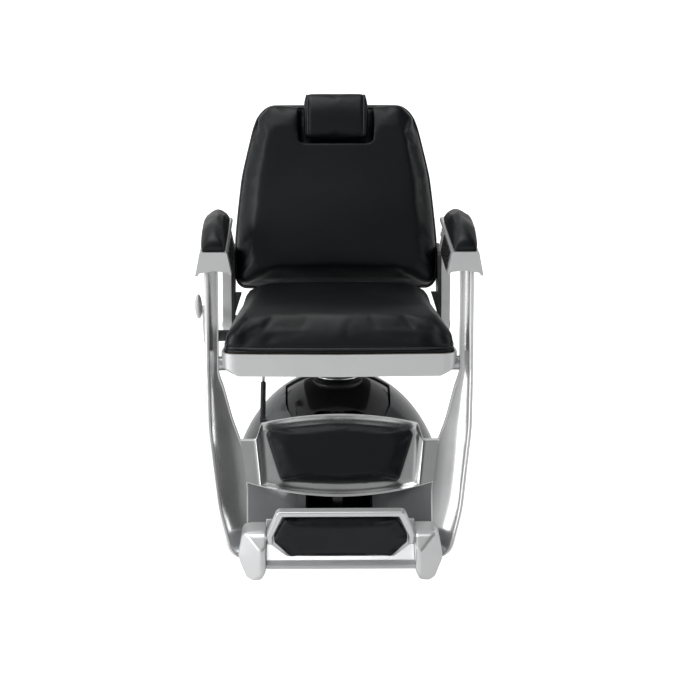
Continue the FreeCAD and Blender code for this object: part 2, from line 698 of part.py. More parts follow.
def build_back():
    cushion = back_outline(0, 0, -back_cushion_thick, back_cushion_thick, BACK_ROUNDS, [(0, 24)])
    recess_low = back_tall - recess_tall
    recess = prism("XZ", [
        (-recess_half, recess_low), (recess_half, recess_low), (recess_half, back_tall + 10),
        (-recess_half, back_tall + 10)], -recess_deep, recess_deep + 10, [((0, 1), 14)])
    keep(lean_back(cut(cushion, recess)), "back_cushion")

    shell_rear = back_cushion_thick + back_shell_deep
    board_rear = back_cushion_thick + back_board_thick
    keep(lean_back(back_outline(back_shell_wall + 2, back_shell_wall + 2, -board_rear, back_board_thick,
                                BACK_INNER_ROUNDS)), "back_board")
    hull = back_outline(0, 0, -shell_rear, back_shell_deep, BACK_ROUNDS, [(-shell_rear, 14)])
    cavity = back_outline(back_shell_wall + 1, back_shell_wall + 1, -shell_rear + back_shell_wall,
                          back_shell_deep, BACK_INNER_ROUNDS)
    post_rear = shell_rear - back_shell_wall - 3
    post_front = post_rear - post_thick
    post_gap = 0.6
    slot_tall = 40
    post_slot = block((-post_half - post_gap, post_front - post_gap, back_tall - slot_tall / 2),
                      (2 * (post_half + post_gap), post_thick + 2 * post_gap, slot_tall))
    keep(lean_back(cut(hull, cavity, post_slot)), "back_shell")

    guide_tall = 190
    guide_drop = 30
    guide_low = back_tall - guide_drop - guide_tall
    guide = block((-guide_half, board_rear, guide_low),
                  (2 * guide_half, shell_rear - back_shell_wall - board_rear, guide_tall))
    channel = block((-post_half - running, post_front - running, guide_low),
                    (2 * (post_half + running), post_thick + 2 * running, guide_tall))
    keep(lean_back(cut(guide, channel)), "headrest_guide")

    post_top = back_tall + headrest_rise
    post_low = guide_low + 10
    post_middle = post_front + post_thick / 2
    strip = block((-post_half, post_front, post_low), (2 * post_half, post_thick, post_top - post_low))
    knuckle_radius = 8
    knuckle = rod("X", (-post_half, post_middle, post_top), 2 * post_half, knuckle_radius)
    ear_gap = 0.4
    ear_thick = 8
    trunnion_radius = 4
    trunnion_half = post_half + ear_gap + ear_thick + 0.6
    trunnion = rod("X", (-trunnion_half, post_middle, post_top), 2 * trunnion_half, trunnion_radius)
    keep(lean_back(fuse(strip, knuckle, trunnion)), "headrest_post")

    ear_front = recess_deep - 14
    ear_outline = [
        (ear_front, post_top - 6), (post_middle + 8, post_top - 8), (post_middle + 8, post_top + 8),
        (ear_front, post_top + 6)]
    ear = prism("YZ", ear_outline, -post_half - ear_gap - ear_thick, ear_thick, [((1, 2), 7)])
    ear_twin = prism("YZ", ear_outline, post_half + ear_gap, ear_thick, [((1, 2), 7)])
    plate_rear = recess_deep - 8
    backing = block((-headrest_half + 14, plate_rear - 6, back_tall - recess_tall + 20),
                    (2 * (headrest_half - 14), 6, recess_tall))
    trunnion_hole = rod("X", (-post_half - 10, post_middle, post_top), 2 * (post_half + 10),
                        trunnion_radius + running)
    keep(lean_back(cut(fuse(ear, ear_twin, backing), trunnion_hole)), "headrest_plate")
    pad_low = back_tall - recess_tall + 4
    pad_rear = plate_rear - 6
    keep(lean_back(prism("YZ", [
        (pad_rear, pad_low), (pad_rear, pad_low + headrest_tall),
        (pad_rear - headrest_thick * 0.7, pad_low + headrest_tall),
        (pad_rear - headrest_thick, pad_low + headrest_tall * 0.5),
        (pad_rear - headrest_thick * 0.7, pad_low)], -headrest_half, 2 * headrest_half,
        [((0, 1), 6), ((2, 4), 20), ((3,), 60)])), "headrest_pad")

    inner_face = back_half
    face_thick = link_inner - easy - inner_face
    shell_heel = back_foot_reach + 100
    bracket = prism("YZ", [
        (rear_pivot - 17, pivot_rise + 8), (rear_pivot - 15, pivot_rise - 14),
        (rear_pivot + 14, pivot_rise - 16),
        (shell_heel + 6, back_foot_rise - 20), (shell_heel + 32, back_foot_rise + 90),
        (rear_pivot + 8, back_foot_rise + 80), (rear_pivot - 14, back_foot_rise)],
        -link_inner + easy, face_thick, [((0, 1, 2), 10), ((3, 4, 5), 16)])
    gusset_low = pivot_rise + 28
    gusset = prism("XZ", [
        (-link_inner + easy, gusset_low), (-inner_face, gusset_low), (-inner_face + 17, back_foot_rise - 20),
        (-link_inner + easy, back_foot_rise - 20)], -rear_pivot - 12, 24)
    pin_hole = rod("X", (-link_inner - link_thick, rear_pivot, pivot_rise), 80, rear_pin_radius + running)
    left = keep(cut(fuse(bracket, gusset), pin_hole), "back_bracket_left")
    mirrored(left, "back_bracket_right")

    arm_hole = rod("X", (-link_inner - link_thick, rear_pivot, arm_pivot_rise), link_thick,
                   arm_pin_radius + running)
    link = fuse(
        block((-(link_inner + link_thick), rear_pivot - link_half, pivot_rise),
              (link_thick, 2 * link_half, arm_rise)),
        rod("X", (-(link_inner + link_thick), rear_pivot, pivot_rise), link_thick, link_half),
        rod("X", (-(link_inner + link_thick), rear_pivot, arm_pivot_rise), link_thick, link_half))
    tie = block((-link_inner, rear_pivot - 10, back_foot_rise + 10), (easy, 20, 40))
    left = keep(cut(fuse(link, tie), pin_hole, arm_hole), "rear_link_left")
    mirrored(left, "rear_link_right")
    both_sides(rod("X", (-(arm_outer_low - 1), rear_pivot, arm_pivot_rise),
                   arm_outer_low - 1 - link_inner + 3, arm_pin_radius), "arm_pins_rear")


# ---------------------------------------------------------------- armrests
def inner_wall_at(level):
    """Offset of the armrest casting's slanted inner wall at a level."""
    slope = (arm_inner_top - arm_inner_low) / (arm_top - arm_skirt - 4)
    return arm_inner_low + (level - arm_skirt - 4) * slope


def build_arms():
    crown = arm_top - 8
    channel = prism("XZ", [
        (-arm_outer_low, arm_skirt), (-arm_outer_top, arm_top), (-arm_inner_top, arm_top),
        (-arm_inner_low, arm_skirt + 4), (-(arm_inner_low + arm_wall), arm_skirt + 4),
        (-(arm_inner_top + arm_wall - 1), crown), (-(arm_outer_top - arm_wall + 1), crown),
        (-(arm_outer_low - arm_wall), arm_skirt)], -arm_rear, arm_rear + arm_front, [((1, 2), 4)])
    nose = prism("XZ", [
        (-arm_outer_low, arm_skirt), (-arm_outer_top, arm_top), (-arm_inner_top, arm_top),
        (-arm_inner_low, arm_skirt + 4), (-(arm_inner_low + 12), arm_skirt + 10),
        (-(arm_inner_top + arm_outer_top) / 2, arm_skirt + 13), (-(arm_outer_low - 12), arm_skirt + 8)],
        arm_front, 6, [((1, 2), 4)])
    pin_reach = arm_outer_low - arm_inner_low + 20
    front_hole = rod("X", (-arm_outer_low - 5, -front_pivot, arm_pivot_rise), pin_reach, arm_pin_radius)
    rear_hole = rod("X", (-arm_outer_low - 5, rear_pivot, arm_pivot_rise), pin_reach,
                    arm_pin_radius + running)
    link_room = block((-arm_inner_top - 4, 60, arm_skirt - 1), (30, arm_rear, crown - arm_skirt + 1))
    casting = cut(fuse(channel, nose), front_hole, rear_hole, link_room)
    left = keep(casting, "armrest_left")
    mirrored(left, "armrest_right")

    pin = keep(cut(common(rod("X", (-arm_outer_low, -front_pivot, arm_pivot_rise),
                              arm_outer_low - arm_inner_low, arm_pin_radius),
                          prism("XZ", [
                              (-arm_outer_low, arm_skirt), (-arm_outer_top, arm_top),
                              (-arm_inner_top, arm_top), (-arm_inner_low, arm_skirt)],
                              front_pivot - 20, 40))), "arm_pin_left")
    mirrored(pin, "arm_pin_right")

    pad_top = arm_top + arm_pad_tall
    pad = prism("YZ", [
        (-arm_front - 2, arm_top + easy), (-arm_front - 4, arm_top + arm_pad_tall * 0.42),
        (-arm_front + 62, pad_top - 4), (-arm_front + 190, pad_top),
        (arm_pad_rear - 10, pad_top - arm_pad_fall),
        (arm_pad_rear, arm_top + easy)], -arm_outer_top + 3, arm_outer_top - arm_inner_top - 6,
        [((1,), 24), ((2,), 60), ((4,), 26)])
    left = keep(pad, "arm_pad_left")
    mirrored(left, "arm_pad_right")

    low = arm_skirt + 8
    high = arm_top - 5
    thick = 2.5
    panel = prism("XZ", [
        (-inner_wall_at(low), low), (-inner_wall_at(high), high),
        (-inner_wall_at(high) + thick, high), (-inner_wall_at(low) + thick, low)],
        30, arm_front - 60)
    left = keep(panel, "arm_panel_left")
    mirrored(left, "arm_panel_right")


# ---------------------------------------------------------------- leg-rest
def calf_frame(obj):
    return tilt(obj, -calf_front, calf_top, calf_lean, 1)


def build_legrest():
    bar_outer = bar_inner + bar_wide
    end_radius = 14
    bar_top = arm_pivot_rise + end_radius
    front_view = prism("XZ", [
        (-bar_outer, bar_top), (-bar_outer, pivot_rise - 20), (-(bar_outer - 4), calf_ledge + 20),
        (-(bar_outer - 28), calf_low - 40), (-bar_foot_outer, 74), (-(bar_foot_outer - 16), 57),
        (-(panel_inner + 8), 57), (-panel_inner, 90), (-panel_inner, calf_low),
        (-(panel_inner + 10), calf_ledge - 30),
        (-(panel_inner + 36), calf_ledge + 35), (-(bar_inner - 12), pivot_rise - 55),
        (-bar_inner, pivot_rise - 26), (-bar_inner, bar_top)],
        0, lobe_front, [((2, 3), 260), ((4, 5, 6), 12), ((9,), 120), ((12,), 40)])
    side_view = prism("YZ", [
        (-front_pivot - end_radius, bar_top), (-front_pivot - end_radius - 3, pivot_rise + 90),
        (-front_pivot - 30, pivot_rise - 10), (-front_pivot - 62, calf_ledge + 30),
        (-front_pivot - 120, calf_low - 22), (-front_pivot - 170, 76), (-front_pivot - 160, 57),
        (-front_pivot - 124, 57), (-front_pivot - 74, calf_low - 22), (-front_pivot - 12, calf_ledge + 30),
        (-front_pivot + 24, pivot_rise - 10), (-front_pivot + end_radius + 3, pivot_rise + 90),
        (-front_pivot + end_radius, bar_top)], -bar_outer - 5, bar_outer,
        [((0, 12), 13.5), ((2, 10), 120), ((4, 8), 300), ((5, 6, 7), 8)])
    axle_hole = rod("X", (-bar_outer - 1, -front_pivot, pivot_rise), bar_wide + 2, axle_radius + running)
    open_hole = rod("X", (-bar_outer - 1, -front_pivot, arm_pivot_rise), bar_wide + 2,
                    arm_pin_radius + open_fit)
    bar_blank = common(front_view, side_view)
    bar = keep(cut(bar_blank, axle_hole, open_hole), "side_bar_left")
    bar_twin = mirrored(bar, "side_bar_right")

    lobe_side = prism("YZ", [
        (-lobe_front + 122, lobe_top), (-lobe_front + 34, lobe_top), (-lobe_front, lobe_top - 46),
        (-lobe_front, lobe_low + 22), (-lobe_front + 18, lobe_low), (-lobe_front + 42, lobe_low),
        (-lobe_front + 84, lobe_low + 38), (-lobe_front + 122, lobe_low + 38)],
        -lobe_outer, lobe_outer - lobe_inner, [((1, 2), 30), ((3, 4, 5), 12), ((6,), 24)])
    lobe_front_view = prism("XZ", [
        (-lobe_outer, lobe_top), (-lobe_outer, lobe_low + 46), (-(lobe_outer - 18), lobe_low + 6),
        (-(lobe_outer - 34), lobe_low), (-(lobe_inner + 10), lobe_low + 4), (-lobe_inner, lobe_low + 26),
        (-lobe_inner, lobe_top)], 0, lobe_front + 5, [((1,), 30), ((2, 3, 4, 5), 8), ((0,), 14)])
    lobe_plan = prism("XY", [
        (-lobe_outer, -lobe_front + 42), (-(lobe_inner + 12), -lobe_front), (-lobe_inner, -lobe_front + 8),
        (-lobe_inner, -lobe_front + 123), (-lobe_outer, -lobe_front + 123)],
        lobe_low - 1, lobe_top - lobe_low + 2, [((1,), 3)])
    pin_hole = rod("X", (-lobe_inner - 26, -foot_pivot_reach, foot_pivot_rise), 30, foot_pin_radius)
    lobe = common(common(lobe_side, lobe_front_view), lobe_plan)
    left = keep(cut(lobe, bar, pin_hole), "toe_lobe_left")
    mirrored(left, "toe_lobe_right")
    both_sides(rod("X", (-lobe_inner - 26, -foot_pivot_reach, foot_pivot_rise),
                   26 + lobe_inner - (foot_half - 12), foot_pin_radius), "foot_pins")

    beam_rear = -foot_pivot_reach + foot_drop + beam_gap
    keep(prism("YZ", [
        (-lobe_front + 12, beam_low), (-lobe_front + 56, beam_low), (beam_rear + beam_thick, beam_low + 34),
        (beam_rear + beam_thick, lobe_top), (beam_rear, lobe_top), (beam_rear, beam_low + 40),
        (-lobe_front + 52, beam_low + beam_thick), (-lobe_front + 14, beam_low + beam_thick)],
        -lobe_inner, 2 * lobe_inner, [((2, 5), 12), ((0, 7), 2)]), "foot_beam")

    reach = bar_foot_outer
    drop_ledge = calf_ledge - calf_top
    drop_low = calf_low - calf_top
    blank = prism("XZ", [
        (-reach, drop_low * 0.8), (-reach, drop_ledge), (-195, drop_ledge), (-188, drop_ledge + 36),
        (0, 2), (188, drop_ledge + 36), (195, drop_ledge), (reach, drop_ledge), (reach, drop_low * 0.8),
        (panel_inner, drop_low * 0.86), (0, drop_low - 12), (-panel_inner, drop_low * 0.86)],
        -calf_thick, calf_thick, [((2, 6), 10), ((3, 5), 12), ((4,), 400), ((10,), 400)])
    calf = calf_frame(blank)
    keep(cut(calf, bar, bar_twin), "calf_plate")
    keep(calf_frame(prism("XZ", [
        (-136, drop_low + 20), (0, drop_low + 12), (136, drop_low + 20), (174, -36), (0, -20), (-174, -36)],
        easy, calf_pad_thick, [((0, 2), 14), ((3, 5), 16), ((1, 4), 300)], [(calf_pad_thick + easy, 9)])),
        "calf_pad")

    lug = prism("YZ", [
        (-strut_low_reach - 70, strut_low_rise - 16), (-strut_low_reach + 6, strut_low_rise - 8),
        (-strut_low_reach + 8, strut_low_rise + 6), (-strut_low_reach - 30, strut_low_rise + 8)],
        -strut_side + 7, 6)
    pin = rod("X", (-strut_side - 6, -strut_low_reach, strut_low_rise), 15, strut_pin_radius)
    front_room = calf_frame(prism("XZ", [
        (-bar_outer, -2 * calf_low), (0, -2 * calf_low), (0, calf_low), (-bar_outer, calf_low)],
        -calf_thick, calf_thick + 100))
    keep(fuse(cut(lug, front_room), pin), "calf_lug")


def build_foot():
    thick = 8
    rim = 22
    rim_wide = 13
    plate = prism("XZ", [
        (-foot_half, -10), (-foot_half, 14), (-foot_bar_half, foot_tall), (foot_bar_half, foot_tall),
        (foot_half, 14), (foot_half, -10), (124, -foot_drop), (-124, -foot_drop)],
        -rim / 2, thick, [((0, 1, 4, 5), 8), ((2, 3), 12), ((6, 7), 14)])
    hoop = prism("XZ", [
        (-foot_half, -10), (-foot_half, 14), (-foot_bar_half, foot_tall), (foot_bar_half, foot_tall),
        (foot_half, 14), (foot_half, -10), (foot_half - rim_wide, -10), (foot_half - rim_wide, 10),
        (foot_bar_half - rim_wide, foot_tall - rim_wide), (-(foot_bar_half - rim_wide), foot_tall - rim_wide),
        (-(foot_half - rim_wide), 10), (-(foot_half - rim_wide), -10)],
        -rim / 2, rim, [((1, 4), 8), ((2, 3), 12)], [(rim / 2, 4)])
    bore = rod("X", (-foot_half - 1, 0, 0), 13 + running, foot_pin_radius + running)
    bore_twin = rod("X", (foot_half - 12 - running, 0, 0), 13 + running, foot_pin_radius + running)
    keep(tilt(cut(fuse(plate, hoop), bore, bore_twin), -foot_pivot_reach, foot_pivot_rise, foot_lean, -1),
         "foot_frame")
    pad_half = foot_half - rim_wide - 0.5
    keep(tilt(prism("XZ", [
        (-118, -foot_drop + 4), (118, -foot_drop + 4), (pad_half, -4), (pad_half, 8),
        (foot_bar_half - rim_wide - 2, foot_tall - rim_wide - 1.5),
        (-(foot_bar_half - rim_wide - 2), foot_tall - rim_wide - 1.5), (-pad_half, 8), (-pad_half, -4)],
        -rim / 2 + thick, 22, [((0, 1), 14), ((2, 3, 6, 7), 8), ((4, 5), 10)], [(-rim / 2 + thick + 22, 7)]),
        -foot_pivot_reach, foot_pivot_rise, foot_lean, -1), "foot_pad")


# ---------------------------------------------------------------- strut
def hypotenuse(first, second):
    return Size("sqrt(%s ^ 2 + %s ^ 2)" % (first.text, second.text), math.hypot(first.value, second.value))


def slope_of(rise, run):
    return Size("atan(%s / %s)" % (rise.text, run.text), math.degrees(math.atan2(rise.value, run.value)))


def stand_strut(obj, slope):
    """Puts a piece that was made along +Y onto the strut's line."""
    obj.Placement = Placement(Vector(), Rotation(Vector(1, 0, 0), 10))
    bind(obj, "Placement.Rotation.Angle", slope)
    place(obj, -strut_side, -strut_low_reach, strut_low_rise)
    return obj


def build_strut():
    """A gas strut from the lug behind the calf plate up to the bracket under the seat."""
    rise = strut_high_rise - strut_low_rise
    run = strut_low_reach - strut_high_reach
    span = hypotenuse(rise, run)
    slope = slope_of(rise, run)
    eye_thick = 10
    eye = strut_pin_radius + 5
    tube_long = span * 0.62
    tube_end_wall = 16
    bore = rod("Y", (0, eye + tube_end_wall, 0), span, strut_rod_radius + running)
    pin_hole = rod("X", (-eye_thick, 0, 0), 2 * eye_thick, strut_pin_radius + running)
    tube = fuse(rod("Y", (0, eye * 0.8, 0), tube_long - eye, strut_radius),
                rod("X", (-eye_thick / 2, 0, 0), eye_thick, eye))
    keep(stand_strut(cut(tube, bore, pin_hole), slope), "strut_cylinder")

    slot_half_long = 7.5
    rod_start = eye + tube_end_wall + 6
    hole = strut_pin_radius + strut_slack
    slot_eye = hole + 4
    neck = span - slot_half_long - hole - 2
    bar = rod("Y", (0, rod_start, 0), neck - rod_start, strut_rod_radius)
    head = long_hole(span, slot_half_long, slot_eye, eye_thick)
    slot = long_hole(span, slot_half_long, hole, eye_thick + 2 * past)
    keep(stand_strut(cut(fuse(bar, head), slot), slope), "strut_rod")


def long_hole(centre, half_long, radius, thick):
    """A slab across X with two round ends, long in Y."""
    start = centre - half_long
    end = centre + half_long
    return fuse(
        block((-thick / 2, start, -radius), (thick, 2 * half_long, 2 * radius)),
        rod("X", (-thick / 2, start, 0), thick, radius),
        rod("X", (-thick / 2, end, 0), thick, radius))


build_base()
build_lift()
build_seat()
build_lever()
build_back()
build_arms()
build_legrest()
build_foot()
build_strut()
doc.recompute()

for item in doc.Objects:
    bad = [state for state in item.State if state in ("Invalid", "Error")]
    if bad:
        raise RuntimeError("%s (%s): %s" % (item.Name, item.Label, bad))
for item in parts:
    if item.Shape.isNull() or not item.Shape.isValid() or not item.Shape.Solids:
        raise RuntimeError("%s has no valid solid" % item.Label)
for item in parts:
    item.Shape.exportStep("parts/%s.step" % item.Label)
print(len(parts), "sub-parts")
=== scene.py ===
# %% [markdown]
# # Hydraulic barber chair
#
# The column, the cowl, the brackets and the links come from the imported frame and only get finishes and
# softened edges here. The castings that show most, the side bars, the calf plate, the toe lobes and the
# lever's paddle, are shaped here in place of the frame's plainer ones. So is the upholstery: each pad starts
# from the frame's plain solid, is inflated as sewn cloth over a fixed base, and then gets its seams and
# piping.

import json
import math

import bmesh
import bpy
from mathutils import Matrix, Vector


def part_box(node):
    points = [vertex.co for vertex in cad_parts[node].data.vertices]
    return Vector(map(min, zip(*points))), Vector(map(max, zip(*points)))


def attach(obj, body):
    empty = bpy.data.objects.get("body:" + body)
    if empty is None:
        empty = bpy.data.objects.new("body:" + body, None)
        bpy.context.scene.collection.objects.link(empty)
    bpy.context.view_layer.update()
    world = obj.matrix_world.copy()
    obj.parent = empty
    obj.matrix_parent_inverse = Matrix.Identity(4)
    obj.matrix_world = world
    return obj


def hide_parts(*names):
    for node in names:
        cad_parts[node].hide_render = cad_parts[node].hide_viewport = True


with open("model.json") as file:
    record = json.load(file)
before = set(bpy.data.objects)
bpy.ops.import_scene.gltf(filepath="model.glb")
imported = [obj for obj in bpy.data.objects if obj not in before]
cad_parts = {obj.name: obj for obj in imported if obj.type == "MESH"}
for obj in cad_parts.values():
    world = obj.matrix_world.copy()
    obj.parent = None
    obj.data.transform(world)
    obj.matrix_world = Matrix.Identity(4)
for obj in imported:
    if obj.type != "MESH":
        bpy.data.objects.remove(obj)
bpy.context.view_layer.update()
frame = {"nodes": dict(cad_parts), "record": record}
scene = bpy.context.scene
nodes = frame["nodes"]
MM = 0.001


def low(node):
    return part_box(node)[0]


def high(node):
    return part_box(node)[1]


def middle(node):
    return (low(node) + high(node)) / 2


# %% [markdown]
# ## Camera
# A long lens well in front of the chair, a little above the seat and a touch to the sitter's right, looks
# slightly down. The long lens keeps the sides nearly parallel. It aims just above the front of the seat pan.

# %% Camera
VIEW_PITCH = math.radians(12.5)
VIEW_YAW = math.radians(0.88)
VIEW_DISTANCE = 5.6
LENS_MM = 128.35

aim = Vector((-6 * MM, low("seat_pan").y - 4 * MM, high("seat_pan").z + 44 * MM))
forward = Vector((
    math.sin(VIEW_YAW) * math.cos(VIEW_PITCH),
    math.cos(VIEW_YAW) * math.cos(VIEW_PITCH),
    -math.sin(VIEW_PITCH)))
camera_data = bpy.data.cameras.new("camera")
camera_data.lens = LENS_MM
camera_data.sensor_width = 36
camera_data.clip_end = 60
camera = bpy.data.objects.new("camera", camera_data)
camera.location = aim - forward * VIEW_DISTANCE
camera.rotation_mode = "QUATERNION"
camera.rotation_quaternion = forward.to_track_quat("-Z", "Y")
scene.collection.objects.link(camera)
scene.camera = camera
print("camera at", [round(v, 3) for v in camera.location])

# %% [markdown]
# ## Studio
# A white floor that sweeps up into a white wall, a white surround that is brighter on the left than on the
# right, and large soft lights. The uneven surround is what gives polished metal its light and dark faces.

# %% Floor and wall
FLOOR_HALF_WIDTH = 8.0
FLOOR_FRONT = -7.5
WALL_START = 3.0
WALL_RADIUS = 2.5
WALL_TOP = 7.0
FLOOR_BOUNCE = 0.12


def value_node(tree, kind, settings=None, inputs=None):
    """Adds one shader node, sets its options, and sets or links its inputs."""
    item = tree.nodes.new(kind)
    for key, value in (settings or {}).items():
        setattr(item, key, value)
    for key, value in (inputs or {}).items():
        if isinstance(value, bpy.types.NodeSocket):
            tree.links.new(value, item.inputs[key])
        else:
            item.inputs[key].default_value = value
    return item


def make_sweep():
    profile = [(FLOOR_FRONT, 0.0), (WALL_START, 0.0)]
    steps = 24
    for step in range(1, steps + 1):
        angle = math.pi / 2 * step / steps
        profile.append((WALL_START + WALL_RADIUS * math.sin(angle), WALL_RADIUS * (1 - math.cos(angle))))
    profile.append((WALL_START + WALL_RADIUS, WALL_TOP))
    mesh = bpy.data.meshes.new("studio_sweep")
    points = [(x, y, z) for y, z in profile for x in (-FLOOR_HALF_WIDTH, FLOOR_HALF_WIDTH)]
    faces = [(2 * i, 2 * i + 1, 2 * i + 3, 2 * i + 2) for i in range(len(profile) - 1)]
    mesh.from_pydata(points, [], faces)
    mesh.shade_smooth()
    sweep = bpy.data.objects.new("studio_sweep", mesh)
    scene.collection.objects.link(sweep)
    paint = bpy.data.materials.new("studio_white")
    paint.use_nodes = True
    shader = paint.node_tree.nodes["Principled BSDF"]
    shader.inputs["Base Color"].default_value = (0.93, 0.93, 0.93, 1)
    shader.inputs["Roughness"].default_value = 0.9
    shader.inputs["Specular IOR Level"].default_value = 0.1
    shader.inputs["Emission Color"].default_value = (1, 1, 1, 1)
    ray = value_node(paint.node_tree, "ShaderNodeLightPath")
    glow = value_node(paint.node_tree, "ShaderNodeMapRange", {}, {
        "Value": ray.outputs["Is Camera Ray"], "To Min": FLOOR_BOUNCE, "To Max": 0.92})
    paint.node_tree.links.new(glow.outputs["Result"], shader.inputs["Emission Strength"])
    mesh.materials.append(paint)


make_sweep()

# %% Lights
SURROUND_BRIGHT = 0.75
SURROUND_DARK = 0.10


def make_world():
    world = bpy.data.worlds.new("studio")
    scene.world = world
    world.use_nodes = True
    tree = world.node_tree
    tree.nodes.clear()
    place = value_node(tree, "ShaderNodeTexCoord")
    split = value_node(tree, "ShaderNodeSeparateXYZ", {}, {"Vector": place.outputs["Generated"]})
    sides = value_node(tree, "ShaderNodeMapRange", {"interpolation_type": "SMOOTHSTEP"}, {
        "Value": split.outputs["X"], "From Min": -0.55, "From Max": 0.5,
        "To Min": SURROUND_BRIGHT, "To Max": SURROUND_DARK})
    below = value_node(tree, "ShaderNodeMapRange", {"interpolation_type": "SMOOTHSTEP"}, {
        "Value": split.outputs["Z"], "From Min": -0.3, "From Max": 0.25, "To Min": 0.75, "To Max": 1.0})
    level = value_node(tree, "ShaderNodeMath", {"operation": "MULTIPLY"}, {
        0: sides.outputs["Result"], 1: below.outputs["Result"]})
    ray = value_node(tree, "ShaderNodeLightPath")
    shown = value_node(tree, "ShaderNodeMix", {}, {
        "Factor": ray.outputs["Is Camera Ray"], "A": level.outputs["Value"], "B": 1.0})
    glow = value_node(tree, "ShaderNodeBackground", {}, {
        "Color": (1, 1, 1, 1), "Strength": shown.outputs["Result"]})
    out = value_node(tree, "ShaderNodeOutputWorld")
    tree.links.new(glow.outputs["Background"], out.inputs["Surface"])


def make_light(name, place, target, width, height, power):
    data = bpy.data.lights.new(name, "AREA")
    data.shape = "RECTANGLE"
    data.size = width
    data.size_y = height
    data.energy = power
    lamp = bpy.data.objects.new(name, data)
    lamp.location = place
    lamp.rotation_mode = "QUATERNION"
    lamp.rotation_quaternion = (Vector(target) - Vector(place)).to_track_quat("-Z", "Y")
    scene.collection.objects.link(lamp)


make_world()
make_light("overhead_softbox", (-0.5, -0.2, 3.2), (0, 0, 0.6), 1.8, 1.4, 26)
make_light("left_softbox", (-3.0, -1.3, 1.4), (0, 0, 0.5), 1.4, 2.4, 44)
make_light("right_strip", (3.0, -0.3, 1.4), (0, 0, 0.6), 0.4, 2.0, 14)
scene.view_settings.view_transform = "Standard"
print("studio ready")

# %% [markdown]
# ## Finishes
# Shared effects are node groups, each made once: a group gives a colour, a roughness and a normal, and each
# material puts them on its own shader. The scales are real: leather pores about a millimetre across,
# polishing lines a few tenths of a millimetre apart, and orange peel of a few millimetres in enamel.

# %% Shared effects


def new_group(name, inputs):
    """A node group with float or colour inputs, and Colour, Roughness and Normal outputs."""
    tree = bpy.data.node_groups.new(name, "ShaderNodeTree")
    for label, kind, value in inputs:
        socket = tree.interface.new_socket(label, in_out="INPUT", socket_type=kind)
        socket.default_value = value
    tree.interface.new_socket("Colour", in_out="OUTPUT", socket_type="NodeSocketColor")
    tree.interface.new_socket("Roughness", in_out="OUTPUT", socket_type="NodeSocketFloat")
    tree.interface.new_socket("Normal", in_out="OUTPUT", socket_type="NodeSocketVector")
    return tree, tree.nodes.new("NodeGroupInput"), tree.nodes.new("NodeGroupOutput")


FLOAT = "NodeSocketFloat"
COLOUR = "NodeSocketColor"


def make_leather_group():
    """Upholstery leather: small pebbled pores with painted shade in the hollows between them, slow creases,
    and patches polished by use.
    """
    tree, given, out = new_group("leather_grain", [
        ("Base", COLOUR, (0.0015, 0.0026, 0.0042, 1)), ("Worn", COLOUR, (0.0035, 0.005, 0.0075, 1)),
        ("Pores", FLOAT, 620.0), ("Rough Low", FLOAT, 0.30), ("Rough High", FLOAT, 0.42),
        ("Depth", FLOAT, 0.35)])
    place = value_node(tree, "ShaderNodeTexCoord")
    where = place.outputs["Object"]
    wobble = value_node(tree, "ShaderNodeTexNoise", {}, {"Vector": where, "Scale": 90.0, "Detail": 3.0})
    shift = value_node(tree, "ShaderNodeVectorMath", {"operation": "SCALE"}, {
        0: wobble.outputs["Color"], "Scale": 0.002})
    bent = value_node(tree, "ShaderNodeVectorMath", {"operation": "ADD"}, {
        0: where, 1: shift.outputs["Vector"]})
    pores = value_node(tree, "ShaderNodeTexVoronoi", {"feature": "DISTANCE_TO_EDGE"}, {
        "Vector": bent.outputs["Vector"], "Scale": given.outputs["Pores"]})
    cells = value_node(tree, "ShaderNodeMapRange", {"interpolation_type": "SMOOTHSTEP"}, {
        "Value": pores.outputs["Distance"], "From Min": 0.0, "From Max": 0.22})
    creases = value_node(tree, "ShaderNodeTexNoise", {}, {
        "Vector": where, "Scale": 55.0, "Detail": 5.0, "Roughness": 0.6})
    patches = value_node(tree, "ShaderNodeTexNoise", {}, {"Vector": where, "Scale": 7.0, "Detail": 2.0})
    worn = value_node(tree, "ShaderNodeMapRange", {"interpolation_type": "SMOOTHSTEP"}, {
        "Value": patches.outputs["Fac"], "From Min": 0.42, "From Max": 0.72})
    shade = value_node(tree, "ShaderNodeMix", {"data_type": "RGBA"}, {
        "Factor": worn.outputs["Result"], "A": given.outputs["Base"], "B": given.outputs["Worn"]})
    # Painted shade: the colour is darkened along the pore edges, where the grain's bump is lowest.
    painted_groove_shade = value_node(tree, "ShaderNodeMix", {"data_type": "RGBA", "blend_type": "MULTIPLY"}, {
        "Factor": 0.4, "A": shade.outputs["Result"], "B": cells.outputs["Result"]})
    rough = value_node(tree, "ShaderNodeMapRange", {}, {
        "Value": patches.outputs["Fac"], "From Min": 0.35, "From Max": 0.7,
        "To Min": given.outputs["Rough High"], "To Max": given.outputs["Rough Low"]})
    relief = value_node(tree, "ShaderNodeMath", {"operation": "MULTIPLY_ADD"}, {
        0: creases.outputs["Fac"], 1: 0.8, 2: cells.outputs["Result"]})
    bump = value_node(tree, "ShaderNodeBump", {}, {
        "Strength": given.outputs["Depth"], "Distance": 0.0002, "Height": relief.outputs["Value"]})
    tree.links.new(painted_groove_shade.outputs["Result"], out.inputs["Colour"])
    tree.links.new(rough.outputs["Result"], out.inputs["Roughness"])
    tree.links.new(bump.outputs["Normal"], out.inputs["Normal"])
    return tree


